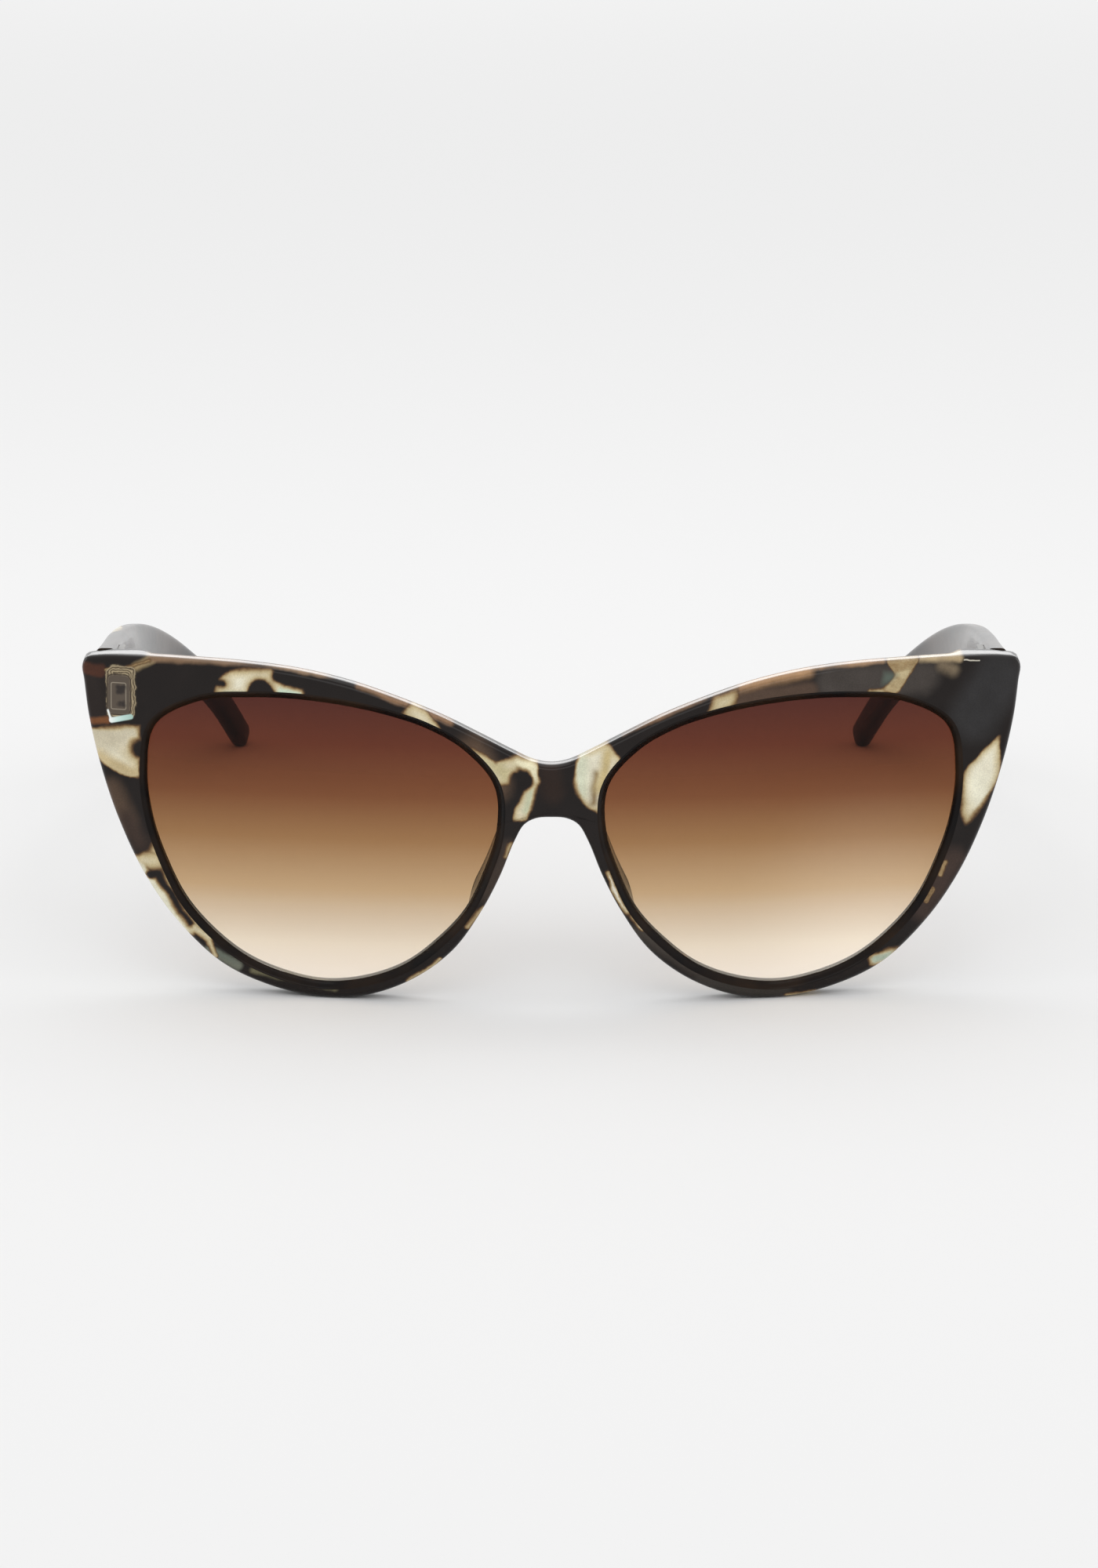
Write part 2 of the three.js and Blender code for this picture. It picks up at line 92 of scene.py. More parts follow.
# Outline of one half of the front, same direction, from under the bridge round to its top.
# The first and last points are past the middle, so that the curve crosses it level.
HALF_OUTLINE = [
    (-2.4, 3.2), (0, 3.4), (2.4, 3.2), (4.2, 2.2), (5.7, -0.4), (8, -6.1), (10.9, -11.8),
    (15.4, -18.3), (21.8, -23.3), (29.2, -26.2), (36.7, -26.6), (44.5, -25), (51.8, -21.6),
    (58.7, -15), (63.8, -7.6), (67.8, 1), (70.6, 9.4), (72.4, 17), (73.15, 22.5), (73.45, 24.6),
    (72.9, 25.9), (71, 26.35), (66, 26.6), (55.5, 26.5), (46, 26.1), (38.7, 25.3), (31.4, 23.8),
    (24, 21.5), (16.8, 18.75), (10.6, 15.8), (5.8, 13.4), (2.7, 12), (0, 11.55), (-2.7, 12),
]

# Temple centre line (u, d, v), with the section's half thickness and half height there.
TEMPLE_LINE = [
    (70.0, -6, -5.35), (70.2, 14, -4.85), (70.6, 36, -4.2), (70.4, 57.5, -3.9), (69.1, 75, -4.5),
    (66.9, 91, -6.5), (64.2, 104.5, -9.7), (61.2, 116, -13.7), (58.3, 126, -18.6),
    (55.4, 134.8, -24.7),
]
TEMPLE_THICK = [1.75, 1.75, 1.7, 1.6, 1.55, 1.5, 1.5, 1.5, 1.5, 1.5]
TEMPLE_HIGH = [5.35, 4.85, 4.2, 3.7, 3.3, 2.95, 2.7, 2.5, 2.4, 2.3]
BUTT_SQUARENESS = 5    # the section's corners: 2 is an ellipse, more is squarer
TIP_SQUARENESS = 3
TIP_LENGTH = 2.3
BUTT_CUT = (40, 40, 60)    # block that cuts the front end square

# Hinge pocket in the endpiece, and the slot for the hinge plate in the temple.
RECESS = (4.3, 7.6, 0.7)
FOOT = (2.2, 4.2, 4.2)
POCKET_GAP = 0.12
PLATE = (1.0, 6.24, 10.5)
PLATE_START = 1.75
PLATE_INNER = HINGE_U + 0.7
SLOT_OVERLAP = 2       # how far the slot's cutter stands out of the inner face
SLOT_LEAD = 6          # and past the butt

FRONT_TO_WORLD = (
    Matrix.Scale(MM, 4)
    @ Matrix.Translation((0, -DEPTH_CENTRE, -TABLE_Z))
    @ Matrix.Rotation(-FRONT_LEAN, 4, "X")
)
TEMPLE_TO_WORLD = (
    FRONT_TO_WORLD
    @ Matrix.Translation((0, BUTT_PLANE, TOP_LINE))
    @ Matrix.Rotation(FRONT_LEAN - TEMPLE_SLOPE, 4, "X")
)


# ---- curves ---------------------------------------------------------------------------------
def catmull_rom(points, closed, steps):
    """Points and directions along a centripetal Catmull-Rom curve, steps to each stretch."""
    knots = np.array(points, float)
    if closed:
        knots = np.vstack([knots[-1], knots, knots[:2]])
    else:
        knots = np.vstack([2 * knots[0] - knots[1], knots, 2 * knots[-1] - knots[-2]])
    share = np.arange(steps)[:, None] / steps
    places, directions = [], []
    for a, b, c, d in zip(knots, knots[1:], knots[2:], knots[3:]):
        before, here, after = (np.linalg.norm(q - p) ** 0.5 for p, q in ((a, b), (b, c), (c, d)))
        start = here * ((b - a) / before - (c - a) / (before + here) + (c - b) / here)
        end = here * ((c - b) / here - (d - b) / (here + after) + (d - c) / after)
        square = 3 * (c - b) - 2 * start - end
        cube = 2 * (b - c) + start + end
        places.append(b + share * (start + share * (square + share * cube)))
        directions.append(start + share * (2 * square + 3 * share * cube))
    if not closed:
        places.append(c[None])
        directions.append(end[None])
    return np.vstack(places), np.vstack(directions)


def outward(directions):
    """Unit normals to the right of each direction."""
    normals = np.stack([directions[:, 1], -directions[:, 0]], axis=1)
    return normals / np.linalg.norm(normals, axis=1, keepdims=True)


def angle_about_lens(points):
    return np.arctan2(points[:, 1] - LENS_CENTRE[1], points[:, 0] - LENS_CENTRE[0])


def smooth(value, low, high):
    share = np.clip((value - low) / (high - low), 0, 1)
    return share * share * (3 - 2 * share)


def form_depth(at):
    return at[:, 0] ** 2 / (2 * FORM_RADIUS_ACROSS) + at[:, 1] ** 2 / (2 * FORM_RADIUS_UP)


def back_depth(at):
    rim = form_depth(at) + RIM_DEPTH
    endpiece = smooth(at[:, 0], *ENDPIECE_U) * smooth(at[:, 1], *ENDPIECE_W)
    return rim + (BUTT_PLANE - rim) * endpiece


def pad_share(at):
    """1 along the middle of the nose pad, 0 away from it."""
    middle = (1 - smooth(at[:, 1], *PAD_TOP_W)) * smooth(at[:, 1], *PAD_BOTTOM_W)
    return np.where(at[:, 0] > PAD_REACH_U, 0, middle)


# ---- meshes ---------------------------------------------------------------------------------
SHARP_EDGE = math.radians(32)


def to_world(points, matrix):
    """Points in millimetres to world metres, flattened onto the table where they reach it."""
    turn = np.array(matrix)
    world = points @ turn[:3, :3].T + turn[:3, 3]
    world[:, 2] = np.maximum(world[:, 2], 0)
    return world


def new_object(name, points, faces, materials=(), face_materials=None):
    mesh = bpy.data.meshes.new(name)
    mesh.from_pydata(points.tolist(), [], faces)
    for material in materials:
        mesh.materials.append(material)
    if face_materials is not None:
        mesh.polygons.foreach_set("material_index", face_materials)
    piece = bpy.data.objects.new(name, mesh)
    bpy.context.scene.collection.objects.link(piece)
    return piece


def soften(mesh):
    """Smooth shading, broken where the surface really turns a corner."""
    work = bmesh.new()
    work.from_mesh(mesh)
    for face in work.faces:
        face.smooth = True
    for edge in work.edges:
        edge.smooth = edge.calc_face_angle(0) < SHARP_EDGE
    work.to_mesh(mesh)
    work.free()


def box(name, size, centre, matrix=FRONT_TO_WORLD):
    """A box in front coordinates, as a cutter."""
    corners = np.array([(x, y, z) for x in (-1, 1) for y in (-1, 1) for z in (-1, 1)]) / 2
    faces = [(0, 1, 3, 2), (4, 6, 7, 5), (0, 4, 5, 1), (2, 3, 7, 6), (0, 2, 6, 4), (1, 5, 7, 3)]
    turn = np.array(matrix)
    points = (corners * size + centre) @ turn[:3, :3].T + turn[:3, 3]
    return new_object(name, points, faces)


def cut(piece, cutter):
    """Takes the cutter out of the piece and removes it."""
    modifier = piece.modifiers.new("cut", "BOOLEAN")
    modifier.operation = "DIFFERENCE"
    modifier.solver = "MANIFOLD"
    modifier.object = cutter
    bpy.context.view_layer.update()
    done = piece.evaluated_get(bpy.context.evaluated_depsgraph_get())
    before = piece.data
    piece.data = bpy.data.meshes.new_from_object(done)
    piece.modifiers.clear()
    bpy.data.meshes.remove(before)
    bpy.data.objects.remove(cutter)


def skin(rings, side):
    """Joins rings of points into a closed body with a flat cap at each end."""
    size = len(rings[0])
    faces = [tuple(range(size))[::-1], tuple(range((len(rings) - 1) * size, len(rings) * size))]
    for i in range(len(rings) - 1):
        a, b = i * size, (i + 1) * size
        for k in range(size):
            nxt = (k + 1) % size
            faces.append((a + k, a + nxt, b + nxt, b + k))
    if side < 0:
        faces = [face[::-1] for face in faces]
    return np.vstack(rings), faces


# ---- front frame ----------------------------------------------------------------------------
STATION_STEP = 0.5     # spacing of the stations along the outline
SEAM_REACH = 1e-8      # points this near the middle, in metres, are on the seam
FACE_STEPS = 14
ROUND_STEPS = 5
WALL_STEPS = 3
BACK_STEPS = 22
# The section through the opening, from the back to the face: how far outwards from the
# opening, and how deep behind the face.
REAR_CHAMFER = [(0.35, RIM_DEPTH), (0.1, RIM_DEPTH - 0.07), (0, RIM_DEPTH - 0.25)]
GROOVE = [(0, GROOVE_BACK), (GROOVE_DEPTH, GROOVE_BACK), (GROOVE_DEPTH, GROOVE_FRONT)]
BEVEL = [
    (0, GROOVE_FRONT), (0, GROOVE_FRONT - 0.25), (0.06, GROOVE_FRONT - 0.36),
    (BEVEL_WIDTH - 0.3, 0.2), (BEVEL_WIDTH - 0.12, 0.04),
]


def opening_towards(at):
    """The points of the lens opening in the directions of the given points, with normals."""
    steps = 60
    places, directions = catmull_rom(OPENING, True, steps)
    angles = np.unwrap(angle_about_lens(places))
    turn = 2 * math.pi
    wanted = (angle_about_lens(at) - angles[0]) % turn
    reached = np.append(angles - angles[0], turn)
    table = np.hstack([places, outward(directions)])
    table = np.vstack([table, table[0]])
    found = np.stack([np.interp(wanted, reached, column) for column in table.T], axis=1)
    normals = found[:, 2:] / np.linalg.norm(found[:, 2:], axis=1, keepdims=True)
    return found[:, :2], normals


def outline_stations():
    """Evenly spaced points and normals round one half, then down the middle of the bridge."""
    steps = 40
    places, directions = catmull_rom(HALF_OUTLINE, False, steps)
    places, directions = places[steps:-steps], directions[steps:-steps]
    lengths = np.append(0, np.cumsum(np.linalg.norm(np.diff(places, axis=0), axis=1)))
    wanted = np.linspace(0, lengths[-1], int(lengths[-1] / STATION_STEP))
    table = np.hstack([places, outward(directions)])
    found = np.stack([np.interp(wanted, lengths, column) for column in table.T], axis=1)
    at, out = found[:, :2], found[:, 2:]
    at[[0, -1], 0] = 0
    out[0], out[-1] = (0, -1), (0, 1)
    inside = FRONT_ROUND + STATION_STEP
    bridge = np.arange(at[-1, 1] - inside, at[0, 1] + inside, -STATION_STEP)
    at = np.vstack([at, np.stack([np.zeros_like(bridge), bridge], axis=1)])
    out = np.vstack([out, np.zeros((len(bridge), 2))])
    return at, out, len(found)


def on_form(at, depth):
    """Points at a depth behind the curved face."""
    return np.stack([at[:, 0], form_depth(at) + depth, at[:, 1]], axis=1)


def on_back(at, pad, lift=0.0):
    """Points on the back of the rim and its nose pad, or a lift in front of it."""
    return np.stack([at[:, 0], back_depth(at) + PAD_HEIGHT * pad - lift, at[:, 1]], axis=1)


def quarter_turn():
    """Sine and cosine at each step round a quarter turn, after its start."""
    angles = math.pi / 2 * np.arange(1, ROUND_STEPS + 1) / ROUND_STEPS
    return list(zip(np.sin(angles), np.cos(angles)))


def face_rows(start, end):
    """Across the face, from the bevel to the start of the rounded outer edge."""
    return [on_form(start + (end - start) * i / FACE_STEPS, 0) for i in range(FACE_STEPS + 1)]


def wall_rows(outer, outer_out, back_edge, pad):
    """Over the rounded outer edge, down the wall and round the rear edge."""
    rows = []
    for sine, cosine in quarter_turn():
        at = outer - outer_out * FRONT_ROUND * (1 - sine)
        rows.append(on_form(at, FRONT_ROUND * (1 - cosine)))
    top = rows[-1]
    foot = on_back(back_edge, pad, BACK_ROUND)
    rows += [top + (foot - top) * i / WALL_STEPS for i in range(1, WALL_STEPS + 1)]
    for sine, cosine in quarter_turn():
        at = back_edge - outer_out * BACK_ROUND * (1 - cosine)
        rows.append(on_back(at, pad, BACK_ROUND * (1 - sine)))
    return rows


def back_rows(start, end, pad):
    """Across the back towards the opening, as the nose pad dies away."""
    shares = [i / BACK_STEPS for i in range(1, BACK_STEPS)]
    return [on_back(start + (end - start) * q, pad * (1 - smooth(q, 0, 1))) for q in shares]


def opening_rows(inner, inner_out):
    """Through the opening: the rear chamfer, the lens groove and the front bevel."""
    section = REAR_CHAMFER + GROOVE + BEVEL
    return [on_form(inner + inner_out * aside, depth) for aside, depth in section]


def rim_sections(inner, inner_out, outer, outer_out):
    """Sections through the rim, one for each station, and where in them three stretches
    start: the outer edge, the back and the bevel."""
    pad = pad_share(outer)
    back_edge = outer - outer_out * PAD_SPLAY * pad[:, None]
    rows = face_rows(inner + inner_out * BEVEL_WIDTH, outer - outer_out * FRONT_ROUND)
    edge_start = len(rows) - 1
    rows += wall_rows(outer, outer_out, back_edge, pad)
    back_start = len(rows) - 1
    chamfer_start = inner + inner_out * REAR_CHAMFER[0][0]
    rows += back_rows(back_edge - outer_out * BACK_ROUND, chamfer_start, pad)
    rows += opening_rows(inner, inner_out)
    bevel_start = len(rows) - len(BEVEL)
    return np.stack(rows, axis=1), edge_start, back_start, bevel_start


def half_front():
    """Points, faces and each face's look, 0 for the tortoise and 1 for the bevel, of the
    half on the wearer's left."""
    outer, outer_out, outline_count = outline_stations()
    inner, inner_out = opening_towards(outer)
    sections, edge_start, back_start, bevel_start = rim_sections(inner, inner_out, outer, outer_out)
    stations, size = sections.shape[:2]
    faces, looks = [], []
    for i in range(stations):
        a, b = i * size, (i + 1) % stations * size
        at_bridge = i >= outline_count - 1     # joined to the other half, so without a wall
        for k in range(size):
            if at_bridge and edge_start <= k < back_start:
                continue
            nxt = (k + 1) % size
            faces.append((a + k, a + nxt, b + nxt, b + k))
            looks.append(int(k >= bevel_start))
    return sections.reshape(-1, 3), faces, looks


def join_halves(mesh):
    """Joins the two halves along the middle of the bridge."""
    work = bmesh.new()
    work.from_mesh(mesh)
    bmesh.ops.delete(work, geom=[v for v in work.verts if not v.link_faces], context="VERTS")
    seam = [v for v in work.verts if abs(v.co.x) < SEAM_REACH]
    bmesh.ops.remove_doubles(work, verts=seam, dist=SEAM_REACH)
    work.to_mesh(mesh)
    work.free()


def cut_hinge_pockets(piece):
    """A recess in each endpiece with a hole in it for the foot of the front leaf."""
    recess_width, recess_height, recess_depth = RECESS
    foot_width, foot_depth, foot_height = FOOT
    recess = (recess_width, 2 * recess_depth, recess_height)
    hole_depth = foot_depth + recess_depth + POCKET_GAP
    hole = (foot_width + 2 * POCKET_GAP, 2 * hole_depth, foot_height + 2 * POCKET_GAP)
    for side in (-1, 1):
        centre = (side * HINGE_U, BUTT_PLANE, HINGE_W)
        cut(piece, box("recess", recess, centre))
        cut(piece, box("foot_hole", hole, centre))


def front_frame(tortoise, bevel):
    half, faces, looks = half_front()
    other_half = [tuple(len(half) + p for p in face[::-1]) for face in faces]
    points = to_world(np.vstack([half, half * (-1, 1, 1)]), FRONT_TO_WORLD)
    piece = new_object("front_acetate", points, faces + other_half, (tortoise, bevel), looks * 2)
    join_halves(piece.data)
    cut_hinge_pockets(piece)
    soften(piece.data)
    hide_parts("front_frame")
    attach(piece, "front")


# ---- lenses ---------------------------------------------------------------------------------
LENS_RINGS = 16
LENS_STEPS = 8         # points on each stretch of the opening
LENS_CAP = 0.03        # size of the flat cap in the middle of each face, as a share


def lens(side, glass):
    places, directions = catmull_rom(OPENING, True, LENS_STEPS)
    edge = places + outward(directions) * LENS_BITE
    rings = []
    for depth, order in ((LENS_BACK, 1), (LENS_FRONT, -1)):
        for share in np.linspace(LENS_CAP, 1, LENS_RINGS)[::order]:
            ring = on_form(LENS_CENTRE + (edge - LENS_CENTRE) * share, depth)
            rings.append(ring * (side, 1, 1))
    points, faces = skin(rings, side)
    name = "left" if side > 0 else "right"
    piece = new_object(f"lens_{name}_tinted", to_world(points, FRONT_TO_WORLD), faces, (glass,))
    soften(piece.data)
    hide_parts(f"lens_{name}")
    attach(piece, "front")


# ---- temples --------------------------------------------------------------------------------
TEMPLE_SIDES = 48
TEMPLE_STEPS = 16      # rings on each stretch of the centre line
DOME_STEPS = 8


def temple_ring(centre, direction, thick, high, squareness):
    """Rounded box section across the line."""
    direction = direction / np.linalg.norm(direction)
    across = np.cross(direction, (0, 0, 1))
    across /= np.linalg.norm(across)
    up = np.cross(across, direction)
    angle = -2 * math.pi * (np.arange(TEMPLE_SIDES) + 0.5) / TEMPLE_SIDES
    power = 2 / squareness
    x = np.sign(np.cos(angle)) * np.abs(np.cos(angle)) ** power * thick
    z = np.sign(np.sin(angle)) * np.abs(np.sin(angle)) ** power * high
    return centre + x[:, None] * across + z[:, None] * up


def temple_rings():
    """Sections along the wearer's left temple, the last ones round its tip."""
    places, directions = catmull_rom(TEMPLE_LINE, False, TEMPLE_STEPS)
    knots = np.arange(len(TEMPLE_LINE)) * TEMPLE_STEPS
    thick = np.interp(np.arange(len(places)), knots, TEMPLE_THICK)
    high = np.interp(np.arange(len(places)), knots, TEMPLE_HIGH)
    squareness = np.linspace(BUTT_SQUARENESS, TIP_SQUARENESS, len(places))
    rings = [temple_ring(*row) for row in zip(places, directions, thick, high, squareness)]
    forward = directions[-1] / np.linalg.norm(directions[-1])
    for i in range(1, DOME_STEPS):
        angle = math.pi / 2 * i / DOME_STEPS
        centre = places[-1] + forward * TIP_LENGTH * math.sin(angle)
        section = (thick[-1] * math.cos(angle), high[-1] * math.cos(angle), TIP_SQUARENESS)
        rings.append(temple_ring(centre, forward, *section))
    return rings


def cut_temple(piece, side):
    """Cuts the butt square, and the slot for the hinge plate in its inner face."""
    butt_depth = BUTT_PLANE + BUTT_GAP - BUTT_CUT[1] / 2
    cut(piece, box("butt", BUTT_CUT, (side * TEMPLE_LINE[0][0], butt_depth, TOP_LINE)))
    thickness, height, length = PLATE
    inner = PLATE_INNER - SLOT_OVERLAP
    outer = PLATE_INNER + thickness + POCKET_GAP
    reach = length + POCKET_GAP + SLOT_LEAD
    back = BUTT_PLANE + HINGE_BEHIND + PLATE_START + length + POCKET_GAP
    slot = (outer - inner, reach, height + 2 * POCKET_GAP)
    cut(piece, box("slot", slot, (side * (inner + outer) / 2, back - reach / 2, HINGE_W)))


def temple(side, acetate):
    points, faces = skin([ring * (side, 1, 1) for ring in temple_rings()], side)
    points = to_world(points, TEMPLE_TO_WORLD)
    name = "left" if side > 0 else "right"
    piece = new_object(f"temple_{name}_acetate", points, faces, (acetate,))
    cut_temple(piece, side)
    soften(piece.data)
    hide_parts(f"temple_{name}")
    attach(piece, f"temple_{name}")


# ---- materials ------------------------------------------------------------------------------
def linear(red, green, blue):
    """A display colour, 0 to 255, as a linear one with alpha."""
    def channel(value):
        value /= 255
        return value / 12.92 if value <= 0.04045 else ((value + 0.055) / 1.055) ** 2.4
    return (channel(red), channel(green), channel(blue), 1)


class Nodes:
    """Adds nodes to a material, each taking sockets or constants as its inputs."""

    def __init__(self, name):
        self.material = bpy.data.materials.new(name)
        self.material.use_nodes = True
        self.tree = self.material.node_tree
        self.tree.nodes.clear()
        self.output = self.add("ShaderNodeOutputMaterial")

    def add(self, kind, inputs=(), **settings):
        node = self.tree.nodes.new(kind)
        for setting, value in settings.items():
            setattr(node, setting, value)
        named = inputs.items() if isinstance(inputs, dict) else enumerate(inputs)
        for key, value in named:
            if isinstance(value, bpy.types.NodeSocket):
                self.tree.links.new(value, node.inputs[key])
            elif value is not None:
                node.inputs[key].default_value = value
        return node

    def math(self, operation, *inputs, clamp=False):
        return self.add("ShaderNodeMath", inputs, operation=operation, use_clamp=clamp).outputs[0]

    def vector(self, operation, *inputs):
        node = self.add("ShaderNodeVectorMath", inputs, operation=operation)
        return node.outputs["Value" if operation in ("LENGTH", "DOT_PRODUCT") else "Vector"]

    def mix(self, share, first, second, blend="MIX"):
        node = self.add("ShaderNodeMix", data_type="RGBA", blend_type=blend)
        for socket, value in zip((node.inputs[0], node.inputs[6], node.inputs[7]),
                                 (share, first, second)):
            if isinstance(value, bpy.types.NodeSocket):
                self.tree.links.new(value, socket)
            else:
                socket.default_value = value
        return node.outputs[2]

    def noise(self, vector, scale, detail=2.0, roughness=0.5, output="Fac"):
        inputs = {"Vector": vector, "Scale": scale, "Detail": detail, "Roughness": roughness}
        return self.add("ShaderNodeTexNoise", inputs).outputs[output]

    def ramp(self, value, stops):
        """Colours by value; stops are (value, colour) pairs, lowest first."""
        low, high = stops[0][0], stops[-1][0]
        share = self.math("DIVIDE", self.math("SUBTRACT", value, low), high - low, clamp=True)
        node = self.add("ShaderNodeValToRGB", {"Fac": share})
        ramp = node.color_ramp
        while len(ramp.elements) < len(stops):
            ramp.elements.new(1)
        for element, (place, colour) in zip(ramp.elements, stops):
            element.position = (place - low) / (high - low)
            element.color = colour
        return node.outputs["Color"]

    def span(self, value, low, high, start=0.0, end=1.0, kind="LINEAR"):
        """start to end as the value goes from low to high, and no further."""
        inputs = {"Value": value, "From Min": low, "From Max": high, "To Min": start, "To Max": end}
        return self.add("ShaderNodeMapRange", inputs, interpolation_type=kind).outputs[0]

    def ease(self, value, low, high, end=1.0):
        """0 to end with soft ends, as the value goes from low to high."""
        return self.span(value, low, high, end=end, kind="SMOOTHSTEP")

    def shaded(self, shader):
        """The finished material with the shader as its surface."""
        self.tree.links.new(shader.outputs[0], self.output.inputs[0])
        return self.material

    def flat(self, matrix):
        """The surface point in the coordinates that the matrix takes to the world, in mm."""
        spot = self.add("ShaderNodeTexCoord").outputs["Object"]
        place, turn, scale = matrix.decompose()
        inputs = {"Vector": spot, "Location": place, "Rotation": turn.to_euler(), "Scale": scale}
        return self.add("ShaderNodeMapping", inputs, vector_type="TEXTURE").outputs[0]


# The tortoise pattern on the front in (u, w), in millimetres. Its points began as places picked
# on a photograph and converted by another script. About a third are still as that script
# printed them, and the rest were moved or added by hand. Each patch is a convex area given by
# its corners, or a stroke with round ends. soft is how roundly it joins what is under it, and
# most is a limit on how light it gets.
def area(kind, *corners, soft=0.8, most=None):
    return {"kind": kind, "corners": corners, "soft": soft, "most": most}


def stroke(kind, start, end, radius, soft=0.8, most=None):
    return {"kind": kind, "ends": (start, end), "radius": radius, "soft": soft, "most": most}


RIGHT_ENDPIECE = [
    area("light", (-74.2, 15.0), (-64.3, 16.1), (-64.4, 7.6), (-67.4, 8.2), (-69.9, 9.3),
         (-72.3, 11.6), soft=0.7),
    stroke("dark", (-64.2, 12.4), (-63.6, 12.2), 1.5, soft=0.4),
]
RIGHT_TOP_BAR = [
    area("light", (-52.5, 21.6), (-51.7, 23.8), (-50.1, 25.2), (-43.6, 25.7), (-42.2, 24.0),
         (-42.7, 21.8), (-49.1, 21.3)),
    stroke("dark", (-53.8, 23.1), (-50.9, 23.1), 0.5),
    stroke("dark", (-45.1, 21.9), (-44.5, 21.7), 2.2),
    stroke("light", (-43.6, 24.2), (-42.3, 22.8), 0.6),
    stroke("light", (-42.3, 22.6), (-39.1, 22.2), 0.6),
    stroke("dark", (-42.5, 24.6), (-37.8, 24.1), 1.0),
    area("light", (-23.1, 19.2), (-22.0, 20.8), (-19.2, 19.9), (-17.0, 16.9), (-17.9, 16.5)),
    stroke("light", (-69.6, 24.3), (-66.6, 24.7), 0.12, soft=0.2, most=0.1),
    stroke("light", (-66.6, 24.7), (-62.8, 26.0), 0.12, soft=0.2, most=0.1),
]
BRIDGE = [
    area("light", (-12.7, 14.4), (-8.6, 12.2), (-5.8, 9.0), (-8.9, 8.3)),
    area("light", (-8.6, 12.2), (-4.7, 13.1), (-5.8, 9.0), (-8.9, 8.5)),
    stroke("light", (-5.2, 12.2), (-2.9, 11.4), 0.86),
    stroke("light", (-2.9, 11.3), (-2.35, 9.3), 0.6),
    area("light", (-1.8, 9.6), (-2.2, 7.0), (-2.9, 5.0), (-3.9, 2.8), (-6.0, 3.0), (-5.7, 5.0),
         (-3.2, 9.0), soft=0.4),
    stroke("dark", (-5.0, 9.1), (-4.4, 9.2), 1.6, soft=0.4),
    stroke("dark", (-8.1, 7.3), (-5.5, 7.8), 1.1),
    area("light", (3.7, 12.2), (4.7, 13.5), (8.7, 15.1), (10.9, 12.6), (7.5, 4.0), (5.0, 5.4),
         (3.7, 8.0), soft=1.2),
]
LEFT_TOP_BAR = [
    area("light", (25.5, 22.0), (28.8, 22.9), (28.4, 20.3), (23.7, 18.7)),
    area("light", (52.0, 26.8), (57.6, 26.8), (55.0, 23.6), (53.6, 24.2), most=0.08),
    area("light", (54.2, 24.8), (56.2, 24.8), (53.8, 21.4), (51.4, 22.2), most=0.16),
    stroke("light", (49.6, 21.9), (51.5, 21.8), 0.37),
]
LEFT_SIDE = [
    area("light", (70.0, 14.2), (70.4, 9.4), (69.2, 5.6), (65.1, 0.4), (64.1, 1.8), (64.5, 8.8),
         (68.0, 12.6)),
    stroke("light", (61.7, -5.6), (60.9, -7.6), 0.25, soft=0.4, most=0.08),
    stroke("light", (59.7, -9.8), (58.7, -11.6), 0.35, soft=0.4, most=0.0),
    area("light", (49.7, -20.5), (51.3, -19.5), (54.8, -19.2), (52.3, -21.8), (50.2, -22.1), most=0.5),
    stroke("light", (36.8, -26.4), (41.5, -26.1), 0.31, most=0.3),
]
RIGHT_SIDE = [
    area("light", (-62.0, -1.6), (-60.8, -4.6), (-63.1, -4.0), soft=0.5),
    area("light", (-60.9, -4.0), (-60.5, -6.5), (-63.2, -6.7), (-66.4, -5.4), (-63.0, -3.7), soft=0.5),
    stroke("light", (-65.2, -6.4), (-63.7, -9.5), 1.7, soft=0.4),
    stroke("light", (-63.7, -9.5), (-60.6, -14.0), 2.2, soft=0.4),
    stroke("light", (-60.6, -14.0), (-57.7, -16.9), 1.7, soft=0.4),
    stroke("light", (-57.2, -16.4), (-55.6, -16.2), 0.6, soft=0.4),
    stroke("dark", (-62.9, -7.5), (-61.2, -7.3), 0.7, soft=0.3),
    stroke("dark", (-60.8, -7.6), (-59.7, -10.4), 0.5, soft=0.3),
    stroke("dark", (-59.7, -10.4), (-58.0, -13.3), 0.55, soft=0.3),
    stroke("dark", (-58.0, -13.3), (-56.7, -15.0), 0.55, soft=0.3),
    stroke("light", (-60.7, -6.5), (-59.1, -9.8), 0.3, soft=0.2),
    stroke("light", (-59.1, -9.8), (-57.0, -13.0), 0.25, soft=0.2),
    stroke("light", (-57.0, -13.0), (-55.3, -15.6), 0.35, soft=0.2),
    stroke("light", (-55.8, -16.0), (-54.0, -17.4), 0.7, soft=0.3),
    stroke("light", (-54.0, -17.4), (-52.9, -20.6), 0.45, soft=0.3),
    area("dark", (-58.0, -17.0), (-55.1, -17.2), (-53.9, -18.4), (-53.3, -20.4), (-55.3, -20.2),
         soft=0.3),
    stroke("light", (-22.4, -23.4), (-17.3, -19.8), 0.25, most=0.25),
]
# Painted highlight: thin light lines along the edge between the face and the bevel, down the nose side
# of each rim.
PAINTED_NOSE_SIDE_HIGHLIGHTS = [
    stroke("light", (8.9, -5.3), (9.8, -8.1), 0.3),
    stroke("light", (9.8, -8.1), (11.6, -11.7), 0.4),
    stroke("light", (-6.3, -0.9), (-7.1, -2.7), 0.27),
    stroke("light", (12.6, -12.5), (14.1, -14.5), 0.35),
    stroke("light", (18.6, -18.5), (21.1, -19.9), 0.25),
    stroke("light", (-13.1, -14.3), (-10.6, -11.0), 0.3),
]
# The tortoise patches, with the painted highlight lines beside the nose among them.
FRONT_PATCHES_AND_PAINTED_HIGHLIGHTS = (RIGHT_ENDPIECE + RIGHT_TOP_BAR + BRIDGE + LEFT_TOP_BAR + LEFT_SIDE
                 + RIGHT_SIDE + PAINTED_NOSE_SIDE_HIGHLIGHTS)
WANDER = 0.9           # how far the edges of the patches wander

